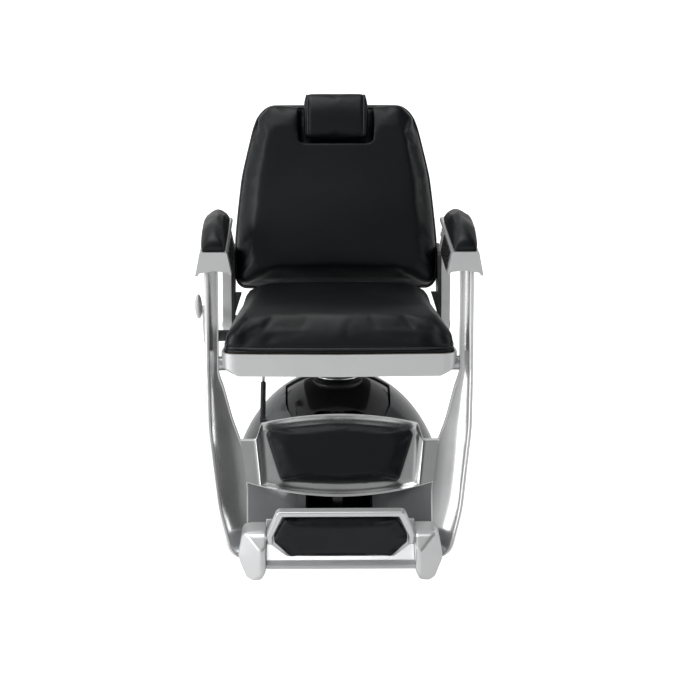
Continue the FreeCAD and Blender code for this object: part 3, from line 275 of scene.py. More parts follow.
def make_polish_group():
    """Polished or satin metal: fine lines along one way, soft clouding and a trace of handling marks."""
    tree, given, out = new_group("polish_lines", [
        ("Base", COLOUR, (0.7, 0.71, 0.72, 1)), ("Cloud", COLOUR, (0.6, 0.61, 0.62, 1)),
        ("Rough Low", FLOAT, 0.22), ("Rough High", FLOAT, 0.34), ("Depth", FLOAT, 0.015)])
    place = value_node(tree, "ShaderNodeTexCoord")
    where = place.outputs["Object"]
    stretch = value_node(tree, "ShaderNodeVectorMath", {"operation": "MULTIPLY"}, {
        0: where, 1: (140.0, 140.0, 7.0)})
    lines = value_node(tree, "ShaderNodeTexNoise", {}, {
        "Vector": stretch.outputs["Vector"], "Scale": 1.0, "Detail": 2.0})
    clouds = value_node(tree, "ShaderNodeTexNoise", {}, {"Vector": where, "Scale": 11.0, "Detail": 4.0})
    marks = value_node(tree, "ShaderNodeTexNoise", {}, {
        "Vector": where, "Scale": 28.0, "Detail": 2.0, "Roughness": 0.5})
    mottle = value_node(tree, "ShaderNodeMapRange", {"interpolation_type": "SMOOTHSTEP"}, {
        "Value": clouds.outputs["Fac"], "From Min": 0.35, "From Max": 0.7})
    shade = value_node(tree, "ShaderNodeMix", {"data_type": "RGBA"}, {
        "Factor": mottle.outputs["Result"], "A": given.outputs["Base"], "B": given.outputs["Cloud"]})
    mixed = value_node(tree, "ShaderNodeMath", {"operation": "MULTIPLY_ADD"}, {
        0: lines.outputs["Fac"], 1: 0.25, 2: marks.outputs["Fac"]})
    rough = value_node(tree, "ShaderNodeMapRange", {}, {
        "Value": mixed.outputs["Value"], "From Min": 0.1, "From Max": 1.1,
        "To Min": given.outputs["Rough Low"], "To Max": given.outputs["Rough High"]})
    bump = value_node(tree, "ShaderNodeBump", {}, {
        "Strength": given.outputs["Depth"], "Distance": 0.00005, "Height": lines.outputs["Fac"]})
    tree.links.new(shade.outputs["Result"], out.inputs["Colour"])
    tree.links.new(rough.outputs["Result"], out.inputs["Roughness"])
    tree.links.new(bump.outputs["Normal"], out.inputs["Normal"])
    return tree


def make_moulded_group():
    """Paint, enamel and moulded plastic: orange peel or fine texture, faint clouding and dust."""
    tree, given, out = new_group("moulded_skin", [
        ("Base", COLOUR, (0.05, 0.05, 0.05, 1)), ("Cloud", COLOUR, (0.07, 0.07, 0.07, 1)),
        ("Grain", FLOAT, 260.0), ("Rough Low", FLOAT, 0.2), ("Rough High", FLOAT, 0.3),
        ("Depth", FLOAT, 0.1)])
    place = value_node(tree, "ShaderNodeTexCoord")
    where = place.outputs["Object"]
    clouds = value_node(tree, "ShaderNodeTexNoise", {}, {"Vector": where, "Scale": 6.0, "Detail": 3.0})
    skin = value_node(tree, "ShaderNodeTexNoise", {}, {
        "Vector": where, "Scale": given.outputs["Grain"], "Detail": 3.0, "Roughness": 0.55})
    mottle = value_node(tree, "ShaderNodeMapRange", {"interpolation_type": "SMOOTHSTEP"}, {
        "Value": clouds.outputs["Fac"], "From Min": 0.3, "From Max": 0.75})
    shade = value_node(tree, "ShaderNodeMix", {"data_type": "RGBA"}, {
        "Factor": mottle.outputs["Result"], "A": given.outputs["Base"], "B": given.outputs["Cloud"]})
    rough = value_node(tree, "ShaderNodeMapRange", {}, {
        "Value": skin.outputs["Fac"], "From Min": 0.3, "From Max": 0.7,
        "To Min": given.outputs["Rough Low"], "To Max": given.outputs["Rough High"]})
    bump = value_node(tree, "ShaderNodeBump", {}, {
        "Strength": given.outputs["Depth"], "Distance": 0.0002, "Height": skin.outputs["Fac"]})
    tree.links.new(shade.outputs["Result"], out.inputs["Colour"])
    tree.links.new(rough.outputs["Result"], out.inputs["Roughness"])
    tree.links.new(bump.outputs["Normal"], out.inputs["Normal"])
    return tree


def make_ply_group():
    """Beech plywood: growth rings stretched along X."""
    tree, given, out = new_group("plywood_grain", [
        ("Base", COLOUR, (0.50, 0.36, 0.22, 1)), ("Cloud", COLOUR, (0.36, 0.24, 0.14, 1))])
    place = value_node(tree, "ShaderNodeTexCoord")
    stretch = value_node(tree, "ShaderNodeVectorMath", {"operation": "MULTIPLY"}, {
        0: place.outputs["Object"], 1: (3.0, 60.0, 60.0)})
    rings = value_node(tree, "ShaderNodeTexNoise", {}, {
        "Vector": stretch.outputs["Vector"], "Scale": 1.0, "Detail": 6.0})
    shade = value_node(tree, "ShaderNodeMix", {"data_type": "RGBA"}, {
        "Factor": rings.outputs["Fac"], "A": given.outputs["Base"], "B": given.outputs["Cloud"]})
    rough = value_node(tree, "ShaderNodeMapRange", {}, {
        "Value": rings.outputs["Fac"], "To Min": 0.5, "To Max": 0.75})
    bump = value_node(tree, "ShaderNodeBump", {}, {
        "Strength": 0.2, "Distance": 0.0003, "Height": rings.outputs["Fac"]})
    tree.links.new(shade.outputs["Result"], out.inputs["Colour"])
    tree.links.new(rough.outputs["Result"], out.inputs["Roughness"])
    tree.links.new(bump.outputs["Normal"], out.inputs["Normal"])
    return tree


LEATHER = make_leather_group()
POLISH = make_polish_group()
MOULDED = make_moulded_group()
PLYWOOD = make_ply_group()

# %% Materials


def grey(level, blue=0.0):
    return (level, level + blue * 0.5, level + blue, 1)


def make_material(name, group, given, shader_values):
    """A Principled material whose colour, roughness and normal come from a shared group."""
    material = bpy.data.materials.new(name)
    material.use_nodes = True
    tree = material.node_tree
    shader = tree.nodes["Principled BSDF"]
    effect = tree.nodes.new("ShaderNodeGroup")
    effect.node_tree = group
    for key, value in given.items():
        effect.inputs[key].default_value = value
    tree.links.new(effect.outputs["Colour"], shader.inputs["Base Color"])
    tree.links.new(effect.outputs["Roughness"], shader.inputs["Roughness"])
    tree.links.new(effect.outputs["Normal"], shader.inputs["Normal"])
    for key, value in shader_values.items():
        shader.inputs[key].default_value = value
    return material


METAL = {"Metallic": 1.0}
SILVER = {"Metallic": 0.6, "Specular IOR Level": 0.6}
MATERIALS = {
    "leather": make_material("leather_black", LEATHER, {}, {"Specular IOR Level": 0.32}),
    "piping": make_material("leather_piping", LEATHER, {
        "Pores": 900.0, "Rough Low": 0.30, "Rough High": 0.42}, {"Specular IOR Level": 0.6}),
    "aluminium": make_material("aluminium_satin", POLISH, {
        "Base": grey(0.70, 0.01), "Cloud": grey(0.685, 0.01), "Rough Low": 0.27, "Rough High": 0.30,
        "Depth": 0.004}, SILVER),
    "cast_face": make_material("cast_face", POLISH, {
        "Base": grey(0.62, 0.01), "Cloud": grey(0.56, 0.01), "Rough Low": 0.18, "Rough High": 0.26,
        "Depth": 0.004}, {"Metallic": 0.88}),
    # Painted highlight: the ribs, lips and rims of the castings are real, but their bright white comes from
    # this lighter, less metallic copy of the cast face's metal.
    "cast_painted_highlight": make_material("cast_painted_highlight", POLISH, {
        "Base": grey(0.86), "Cloud": grey(0.82), "Rough Low": 0.16, "Rough High": 0.24,
        "Depth": 0.004}, {"Metallic": 0.3, "Specular IOR Level": 0.8}),
    "steel": make_material("steel_turned", POLISH, {
        "Base": grey(0.52, 0.01), "Cloud": grey(0.42, 0.01), "Rough Low": 0.25,
        "Rough High": 0.42}, METAL),
    "chrome": make_material("chrome_hard", POLISH, {
        "Base": grey(0.82), "Cloud": grey(0.78), "Rough Low": 0.04, "Rough High": 0.10,
        "Depth": 0.02}, METAL),
    "cowl_grey": make_material("cowl_anthracite", MOULDED, {
        "Base": grey(0.055, 0.008), "Cloud": grey(0.068, 0.008), "Grain": 320.0, "Rough Low": 0.16,
        "Rough High": 0.24, "Depth": 0.04}, {"Coat Weight": 0.5, "Coat Roughness": 0.08}),
    "cowl_black": make_material("cowl_gloss_black", MOULDED, {
        "Base": grey(0.008), "Cloud": grey(0.014), "Rough Low": 0.12, "Rough High": 0.2, "Depth": 0.04},
        {"Coat Weight": 0.4, "Coat Roughness": 0.06}),
    "column_black": make_material("column_enamel", MOULDED, {
        "Base": grey(0.006), "Cloud": grey(0.011), "Rough Low": 0.08, "Rough High": 0.15, "Depth": 0.05},
        {"Coat Weight": 0.6, "Coat Roughness": 0.05}),
    "frame_black": make_material("frame_satin_black", MOULDED, {
        "Base": grey(0.016), "Cloud": grey(0.028), "Grain": 500.0, "Rough Low": 0.34, "Rough High": 0.48,
        "Depth": 0.2}, {}),
    "base_paint": make_material("base_powder_coat", MOULDED, {
        "Base": grey(0.02), "Cloud": grey(0.03), "Grain": 900.0, "Rough Low": 0.45, "Rough High": 0.6,
        "Depth": 0.4}, {}),
    "shell_black": make_material("shell_textured_black", MOULDED, {
        "Base": grey(0.017), "Cloud": grey(0.024), "Grain": 1400.0, "Rough Low": 0.42, "Rough High": 0.55,
        "Depth": 0.5}, {}),
    "panel_black": make_material("panel_gloss_black", MOULDED, {
        "Base": grey(0.012), "Cloud": grey(0.018), "Rough Low": 0.22, "Rough High": 0.3, "Depth": 0.06}, {}),
    "lever_grey": make_material("lever_light_grey", MOULDED, {
        "Base": grey(0.52, 0.01), "Cloud": grey(0.58, 0.01), "Grain": 700.0, "Rough Low": 0.3,
        "Rough High": 0.4, "Depth": 0.15}, {}),
    "pump_iron": make_material("pump_cast_iron", MOULDED, {
        "Base": grey(0.045), "Cloud": grey(0.07), "Grain": 420.0, "Rough Low": 0.5, "Rough High": 0.7,
        "Depth": 0.8}, {}),
    "floor_rubber": make_material("floor_rubber", MOULDED, {
        "Base": grey(0.02), "Cloud": grey(0.028), "Grain": 800.0, "Rough Low": 0.7, "Rough High": 0.85,
        "Depth": 0.5}, {}),
    "plywood": make_material("seat_plywood", PLYWOOD, {}, {}),
}

for record_piece in frame["record"]["subparts"]:
    target = nodes[record_piece["node"]]
    target.data.materials.clear()
    target.data.materials.append(MATERIALS[record_piece["material_slot"]])
print("materials", len(MATERIALS))

# %% [markdown]
# ## Upholstery tools
# A sewn pad is a cover pulled tight over foam on a hard base. The tools below copy the plain solid, remesh
# it evenly, hold the side that sits on its base, and inflate the rest as cloth under a little pressure. The
# travel is capped so that the pad stays in its place. Seams and piping come afterwards.

# %% Cloth pad
FRAMES = 20


def copy_of(node, name):
    mesh = nodes[node].data.copy()
    mesh.name = name
    piece = bpy.data.objects.new(name, mesh)
    piece.matrix_world = nodes[node].matrix_world
    scene.collection.objects.link(piece)
    return piece


def apply_modifiers(piece):
    graph = bpy.context.evaluated_depsgraph_get()
    mesh = bpy.data.meshes.new_from_object(piece.evaluated_get(graph))
    piece.modifiers.clear()
    piece.data = mesh


def inflate(node, name, base_point, base_normal, cap, voxel=5 * MM, pressure=4.0, shrink=4 * MM):
    """The pad of a plain CAD solid. Points within 3 mm of the base plane are held still."""
    piece = copy_of(node, name)
    remesh = piece.modifiers.new("remesh", "REMESH")
    remesh.mode = "VOXEL"
    remesh.voxel_size = voxel
    apply_modifiers(piece)
    mesh = piece.data
    base_point = Vector(base_point)
    base_normal = Vector(base_normal).normalized()
    held = piece.vertex_groups.new(name="held")
    normals = [v.normal.copy() for v in mesh.vertices]
    for vertex in mesh.vertices:
        height = (vertex.co - base_point).dot(base_normal)
        if height < 3 * MM:
            held.add([vertex.index], 1.0, "REPLACE")
        else:
            vertex.co -= normals[vertex.index] * shrink * min(1.0, height / (3 * shrink))
    start = [v.co.copy() for v in mesh.vertices]
    cloth = piece.modifiers.new("cloth", "CLOTH")
    cloth.settings.use_pressure = True
    cloth.settings.uniform_pressure_force = pressure
    cloth.settings.quality = 4
    cloth.settings.mass = 0.3
    cloth.settings.tension_stiffness = 18
    cloth.settings.compression_stiffness = 12
    cloth.settings.bending_stiffness = 1.2
    cloth.settings.vertex_group_mass = "held"
    cloth.settings.effector_weights.gravity = 0
    cloth.point_cache.frame_start = 1
    cloth.point_cache.frame_end = FRAMES
    for number in range(1, FRAMES + 1):
        scene.frame_set(number)
    apply_modifiers(piece)
    for vertex, rest in zip(piece.data.vertices, start):
        travel = vertex.co - rest
        if travel.length > cap:
            vertex.co = rest + travel * (cap / travel.length)
    scene.frame_set(1)
    relax(piece, 7)
    return piece


def relax(piece, rounds):
    """A few rounds of smoothing, so that voxel steps don't show."""
    smooth = piece.modifiers.new("relax", "SMOOTH")
    smooth.factor = 0.5
    smooth.iterations = rounds
    apply_modifiers(piece)


def reshape(piece, rule):
    """Moves every point by a rule that takes and gives a position."""
    for vertex in piece.data.vertices:
        vertex.co = rule(vertex.co)


def finish_pad(piece, body, fill, *replaced):
    """Smooth shading, leather, one subdivision, and its place in the frame."""
    piece.data.materials.clear()
    piece.data.materials.append(MATERIALS["leather"])
    piece.data.shade_smooth()
    rounder = piece.modifiers.new("subdivision", "SUBSURF")
    rounder.levels = 1
    rounder.render_levels = 1
    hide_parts(*replaced)
    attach(piece, body)
    print(piece.name, len(piece.data.vertices), "points")


# %% Seams and piping


def groove(piece, point, normal, depth, width):
    """Presses a stitched line into a pad along a plane."""
    point = Vector(point)
    normal = Vector(normal).normalized()
    offsets = [v.normal.copy() for v in piece.data.vertices]
    for vertex in piece.data.vertices:
        away = (vertex.co - point).dot(normal)
        if abs(away) < width * 3:
            vertex.co -= offsets[vertex.index] * depth * math.exp(-(away / width) ** 2)


def section(piece, point, normal):
    """The closed loops where a plane cuts a pad, longest first."""
    cutter = bmesh.new()
    cutter.from_mesh(piece.data)
    found = bmesh.ops.bisect_plane(
        cutter, geom=cutter.verts[:] + cutter.edges[:] + cutter.faces[:],
        plane_co=Vector(point), plane_no=Vector(normal), dist=1e-7)
    edges = [item for item in found["geom_cut"] if isinstance(item, bmesh.types.BMEdge)]
    links = {}
    for edge in edges:
        for vertex in edge.verts:
            links.setdefault(vertex, []).append(edge.other_vert(vertex))
    loops = []
    unused = set(links)
    while unused:
        first = min(unused, key=lambda v: (round(v.co.x, 5), round(v.co.y, 5), round(v.co.z, 5)))
        path = [first]
        unused.discard(first)
        current = first
        while True:
            onward = [v for v in links[current] if v in unused]
            if not onward:
                break
            current = onward[0]
            unused.discard(current)
            path.append(current)
        loops.append([v.co.copy() for v in path])
    cutter.free()
    loops.sort(key=len, reverse=True)
    return loops


def evened(points, spacing, closed=True):
    """Points along a path at even steps."""
    path = points + [points[0]] if closed else points
    lengths = [(b - a).length for a, b in zip(path, path[1:])]
    total = sum(lengths)
    count = max(8, int(total / spacing))
    result = []
    index = 0
    passed = 0.0
    for step in range(count):
        wanted = total * step / count
        while passed + lengths[index] < wanted:
            passed += lengths[index]
            index += 1
        share = (wanted - passed) / max(lengths[index], 1e-9)
        result.append(path[index].lerp(path[index + 1], share))
    return result


def averaged(points, rounds, closed=True):
    """Irons small steps out of a path."""
    count = len(points)
    for _ in range(rounds):
        fresh = []
        for i in range(count):
            if not closed and i in (0, count - 1):
                fresh.append(points[i])
                continue
            fresh.append((points[i - 1] + points[i] * 2 + points[(i + 1) % count]) / 4)
        points = fresh
    return points


def tube(name, points, radius, body, material, closed=True):
    """A round cord of leather or metal along a path."""
    data = bpy.data.curves.new(name, "CURVE")
    data.dimensions = "3D"
    data.bevel_depth = radius
    data.bevel_resolution = 4
    spline = data.splines.new("NURBS")
    spline.points.add(len(points) - 1)
    for item, place in zip(spline.points, points):
        item.co = (*place, 1.0)
    spline.order_u = 4
    spline.use_cyclic_u = closed
    spline.use_endpoint_u = not closed
    data.materials.append(material)
    piece = bpy.data.objects.new(name, data)
    scene.collection.objects.link(piece)
    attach(piece, body)
    return piece


def pipe(pad, name, point, normal, radius, body, rounds=6, outward=0.0):
    """Sewn piping on the outline where a plane cuts a pad."""
    loop = averaged(evened(section(pad, point, normal)[0], 6 * MM), rounds)
    if outward:
        centre = sum(loop, Vector()) / len(loop)
        loop = [p + (p - centre).normalized() * outward for p in loop]
    return tube(name, loop, radius, body, MATERIALS["piping"])


# %% [markdown]
# ## Seat cushion
# A thick cushion on the seat pan: crowned in the middle, with a large soft roll at the front and round rear
# corners. A cord of piping runs round it a finger above the pan, over a narrow boxing band.

# %% Seat cushion
seat_base = low("seat_cushion").z
seat = inflate("seat_cushion", "seat_pad", (0, 0, seat_base), (0, 0, 1), 14 * MM)
SEAT_ROLL = 150 * MM
SEAT_DROP = 46 * MM
seat_front = low("seat_cushion").y
seat_top = high("seat_cushion").z
seat_half = high("seat_cushion").x
SEAT_SIDE_DROP = 22 * MM
SEAT_SIDE_SHARE = 0.28
SEAT_CROWN = 10 * MM


def seat_rule(place):
    """Rolls the front over in a long curve, softens the sides and crowns the top."""
    lift = max(0.0, (place.z - seat_base) / (seat_top - seat_base))
    ahead = max(0.0, min(1.0, (seat_front + SEAT_ROLL - place.y) / SEAT_ROLL))
    roll = SEAT_DROP * (1 - math.sqrt(1 - 0.98 * ahead ** 2)) * lift
    side = min(1.0, abs(place.x) / seat_half)
    outward = max(0.0, (side - 1 + SEAT_SIDE_SHARE) / SEAT_SIDE_SHARE)
    edge = SEAT_SIDE_DROP * (1 - math.sqrt(1 - 0.98 * outward ** 2)) * lift
    crown = SEAT_CROWN * (1 - side ** 2) * lift
    return Vector((place.x, place.y, place.z - roll - edge + crown))


reshape(seat, seat_rule)
relax(seat, 3)
PIPING_LEVEL = seat_base + 12 * MM
groove(seat, (0, 0, PIPING_LEVEL), (0, 0, 1), depth=3.5 * MM, width=5 * MM)
finish_pad(seat, "seat", 0.8, "seat_cushion")
pipe(seat, "seat_piping", (0, 0, PIPING_LEVEL), (0, 0, 1), 3.2 * MM, "seat", outward=1.5 * MM)

# %% [markdown]
# ## Backrest cushion
# A tall cushion with thick side rolls, a hollow at the top for the headrest, and a lumbar swell that turns
# under at the bottom. Its welt runs round the rim of the shell.

# %% Backrest cushion
LEAN = math.radians(16)
back_up = Vector((0, math.sin(LEAN), math.cos(LEAN)))
back_rear = Vector((0, math.cos(LEAN), -math.sin(LEAN)))
back_heights = [v.co.dot(back_up) for v in nodes["back_cushion"].data.vertices]
back_depths = [v.co.dot(back_rear) for v in nodes["back_cushion"].data.vertices]
back_low, back_high = min(back_heights), max(back_heights)
back_front, back_plane = min(back_depths), max(back_depths)
back_half = high("back_cushion").x
back = inflate("back_cushion", "back_pad", back_rear * back_plane, -back_rear, 12 * MM)
LUMBAR_SWELL = 12 * MM
LUMBAR_LEVEL = 0.34
LUMBAR_SPREAD = 0.22
TUCK_DEPTH = 14 * MM
TUCK_SHARE = 0.2


def back_rule(place):
    """Swells the lumbar and turns the bottom edge under."""
    height = (place.dot(back_up) - back_low) / (back_high - back_low)
    depth = (back_plane - place.dot(back_rear)) / (back_plane - back_front)
    across = 1 - min(1.0, abs(place.x) / back_half) ** 2
    swell = LUMBAR_SWELL * math.exp(-((height - LUMBAR_LEVEL) / LUMBAR_SPREAD) ** 2) * across
    tuck = -TUCK_DEPTH * max(0.0, 1 - height / TUCK_SHARE) ** 2
    return place - back_rear * (swell + tuck) * max(0.0, depth)


reshape(back, back_rule)
relax(back, 3)
finish_pad(back, "back", 0.8, "back_cushion")
pipe(back, "back_welt", back_rear * (back_plane - 12 * MM), back_rear, 3.5 * MM, "back", outward=1 * MM)

# %% [markdown]
# ## Headrest
# A rolled pad, round in section, with end caps sewn on over a cord of piping.

# %% Headrest
head_centre = middle("headrest_pad")
head = inflate("headrest_pad", "headrest_roll", head_centre + back_rear * 0.05, -back_rear, 7 * MM,
               voxel=3.5 * MM, shrink=3 * MM)
HEAD_SEAM = high("headrest_pad").x - 9 * MM
for side in (-1, 1):
    groove(head, (side * HEAD_SEAM, 0, 0), (1, 0, 0), depth=2.5 * MM, width=4 * MM)
finish_pad(head, "headrest", 0.85, "headrest_pad")
for side, label in ((-1, "left"), (1, "right")):
    pipe(head, "headrest_piping_" + label, (side * HEAD_SEAM, 0, 0), (1, 0, 0), 2.2 * MM, "headrest",
         rounds=3, outward=1 * MM)

# %% [markdown]
# ## Arm pads
# Long pads, upright at the sides and arched on top, that curve down over the front of the armrest. The
# arch maps the square corners of the plain solid onto a half round, so the section stays even all along.

# %% Arm pads


def ridge_of(pad, step=8 * MM):
    """The top level of a pad at each place along Y."""
    tops = {}
    for vertex in pad.data.vertices:
        slot = round(vertex.co.y / step)
        tops[slot] = max(tops.get(slot, -1.0), vertex.co.z)
    slots = sorted(tops)

    def level(y):
        here = min(max(y / step, slots[0]), slots[-1] - 1e-6)
        below = math.floor(here)
        return tops[below] + (tops[below + 1] - tops[below]) * (here - below)
    return level


for side, label in ((-1, "left"), (1, "right")):
    node = "arm_pad_" + label
    pad_low = low(node)
    pad_mid = middle(node)
    half = (high(node).x - low(node).x) / 2
    pad = inflate(node, "arm_cushion_" + label, pad_low, (0, 0, 1), 3 * MM, voxel=3.5 * MM, shrink=2 * MM)
    top_at = ridge_of(pad)

    def arm_rule(place):
        """Rounds the upper corners of the section into an arch."""
        spring = top_at(place.y) - half
        if place.z < spring:
            return place.copy()
        across = max(-1.0, min(1.0, (place.x - pad_mid.x) / half))
        upward = max(0.0, min(1.0, (place.z - spring) / half))
        return Vector((
            pad_mid.x + half * across * math.sqrt(1 - upward ** 2 / 2), place.y,
            spring + half * upward * math.sqrt(1 - across ** 2 / 2)))

    reshape(pad, arm_rule)
    relax(pad, 5)
    groove(pad, (0, 0, pad_low.z + 6 * MM), (0, 0, 1), depth=1.2 * MM, width=3 * MM)
    finish_pad(pad, "arm_" + label, 0.85, node)

# %% [markdown]
# ## Calf and foot pads
# Thin moulded pads with pressed edges.

# %% Calf and foot pads


def plate_pad(node, name, body, cap, wide=1.0, tall=1.0, drop=0.0):
    """A thin pad held on its back plane, the solid's largest flat side, and stretched to fill its recess."""
    source = nodes[node].data
    flat = max(source.polygons, key=lambda face: face.normal.y * face.area)
    pad = inflate(node, name, source.vertices[flat.vertices[0]].co, -flat.normal, cap, voxel=3.5 * MM,
                  shrink=2 * MM)
    centre = middle(node)
    lean = Vector((0, -flat.normal.z, flat.normal.y))
    for vertex in pad.data.vertices:
        away = vertex.co - centre
        rise = away.dot(lean)
        vertex.co += lean * (rise * (tall - 1) - drop) + Vector((away.x * (wide - 1), 0, 0))
    relax(pad, 2)
    finish_pad(pad, body, 0.8, node)


plate_pad("calf_pad", "calf_cushion", "legrest", 6 * MM, wide=1.03, tall=1.06, drop=3 * MM)
plate_pad("foot_pad", "foot_cushion", "foot_board", 5 * MM)

# %% [markdown]
# ## Side bars
# Each side bar is a polished casting: a round rib runs down its outer edge, and inside the rib the face
# steps back and turns towards the sitter, ending in a thin lip. Rib and lip are made bright with a painted
# highlight, a lighter, less metallic copy of the face's metal. The outline is sliced from the frame's bar,
# level by level, and every slice gets the same cast section with a rib of constant width.

# %% Side bars
RIB = 12 * MM
LIP = 3.5 * MM
BAR_STATIONS = 72
# The section's first points make the rib; its last few make the inner lip.
RIB_POINTS = 14


def slice_box(mesh, level):
    """The smallest and largest X and Y where a level cuts a mesh."""
    cutter = bmesh.new()
    cutter.from_mesh(mesh)
    found = bmesh.ops.bisect_plane(
        cutter, geom=cutter.verts[:] + cutter.edges[:] + cutter.faces[:],
        plane_co=Vector((0, 0, level)), plane_no=Vector((0, 0, 1)), dist=1e-7)
    points = [item.co.copy() for item in found["geom_cut"] if isinstance(item, bmesh.types.BMVert)]
    cutter.free()
    return (min(p.x for p in points), max(p.x for p in points),
            min(p.y for p in points), max(p.y for p in points))


def bar_section(wide, deep):
    """The cast section, from the rear outer corner round the front: X grows inward, Y grows rearward."""
    rib = min(RIB, wide * 0.62)
    lip = min(LIP, wide * 0.12)
    turn = 3 * MM
    face_start = min(0.16 * deep, 6 * MM)
    face_end = face_start + min((wide - rib) * 0.5, 0.5 * deep)
    points = [(turn, deep), (0, deep - turn), (0, 0.34 * deep)]
    for step in range(1, 12):
        angle = math.pi * step / 12
        points.append((rib / 2 * (1 - math.cos(angle)), 0.34 * deep * (1 - math.sin(angle)) * 0.9))
    points += [(rib - 0.4 * MM, face_start * 0.7), (rib + 0.8 * MM, face_start)]
    for share in (0.25, 0.5, 0.75, 1.0):
        bow = 0.12 * (wide - rib) * math.sin(math.pi * share)
        points.append((rib + 0.8 * MM + (wide - rib - lip - 0.8 * MM) * share,
                       face_start + (face_end - face_start) * share + bow))
    points += [(wide - lip + 0.3 * MM, face_end - 1.6 * MM), (wide - 0.8 * MM, face_end - 1.6 * MM),
               (wide, face_end - 0.6 * MM), (wide, deep - turn), (wide - turn, deep)]
    return points


def make_side_bar(side, label):
    node = "side_bar_" + label
    source = nodes[node].data
    bottom = low(node).z
    top = high(node).z
    rings = []
    for number in range(BAR_STATIONS + 1):
        share = number / BAR_STATIONS
        level = bottom + (top - bottom) * min(0.9995, max(0.0005, share))
        x_low, x_high, y_low, y_high = slice_box(source, level)
        rings.append((level, abs(x_low) if side < 0 else x_high, x_high - x_low, y_low, y_high - y_low))
    rings = [rings[0]] + [
        tuple((a + 2 * b + c) / 4 for a, b, c in zip(*rings[i - 1:i + 2])) for i in range(1, len(rings) - 1)
    ] + [rings[-1]]
    work = bmesh.new()
    previous = None
    for level, outer, wide, front, deep in rings:
        ring = [work.verts.new((side * (outer - u), front + v, level)) for u, v in bar_section(wide, deep)]
        if previous:
            for i in range(len(ring)):
                j = (i + 1) % len(ring)
                face = work.faces.new((previous[i], previous[j], ring[j], ring[i]))
                # Painted highlight: the rib and lip faces take the lighter, less metallic copy of the cast
                # metal.
                face.material_index = 1 if i < RIB_POINTS or i >= len(ring) - 5 else 0
        else:
            work.faces.new(ring)
        previous = ring
    work.faces.new(previous)
    bmesh.ops.recalc_face_normals(work, faces=work.faces[:])
    mesh = bpy.data.meshes.new("side_casting_" + label)
    work.to_mesh(mesh)
    work.free()
    mesh.materials.append(MATERIALS["cast_face"])
    mesh.materials.append(MATERIALS["cast_painted_highlight"])
    piece = bpy.data.objects.new("side_casting_" + label, mesh)
    scene.collection.objects.link(piece)
    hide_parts(node)
    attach(piece, "legrest")
    return piece


castings = [make_side_bar(-1, "left"), make_side_bar(1, "right")]
print("side castings", len(castings[0].data.polygons), "faces each")

# %% [markdown]
# ## Calf plate
# A dished casting between the side bars: a ledge at each end, a raised middle with an arched top, and a
# polished rim all round a shallow recess that holds the pad. The rim and the top and bottom edges are made
# bright with a painted highlight, the lighter copy of the cast metal. It is built as two sheets of points,
# front and back, in the leaning plane of the frame's plate.

# %% Calf plate
plate_mesh = nodes["calf_plate"].data
plate_face = max(plate_mesh.polygons, key=lambda face: -face.normal.y * face.area)
plate_front = plate_face.normal.copy()
plate_front.x = 0
plate_front.normalize()
plate_up = Vector((0, plate_front.z, -plate_front.y))
plate_corner = plate_mesh.vertices[plate_face.vertices[0]].co
plate_level = plate_corner.dot(plate_front)
plate_heights = [v.co.dot(plate_up) for v in plate_mesh.vertices]
plate_top = max(plate_heights)
plate_half = high("calf_plate").x - 5 * MM
LEDGE_DROP = 58 * MM
SHOULDER_DROP = 22 * MM
RAISED_HALF = 190 * MM
SIDE_FOOT = 160 * MM
MIDDLE_FOOT = 194 * MM
FOOT_NARROWING = 0.06
RIM_WIDE = 5 * MM
RIM_RISE = 2.5 * MM
RECESS = 6 * MM


def plate_limits(x):
    """The lower and upper edge of the plate at an offset from the middle."""
    share = min(1.0, abs(x) / plate_half)
    bottom = plate_top - MIDDLE_FOOT + (MIDDLE_FOOT - SIDE_FOOT) * share ** 2
    rise = min(1.0, abs(x) / RAISED_HALF)
    arch = SHOULDER_DROP * rise ** 2
    step = min(1.0, max(0.0, (abs(x) - RAISED_HALF + 8 * MM) / (16 * MM)))
    step = step * step * (3 - 2 * step)
    return bottom, plate_top - arch - (LEDGE_DROP - SHOULDER_DROP) * step


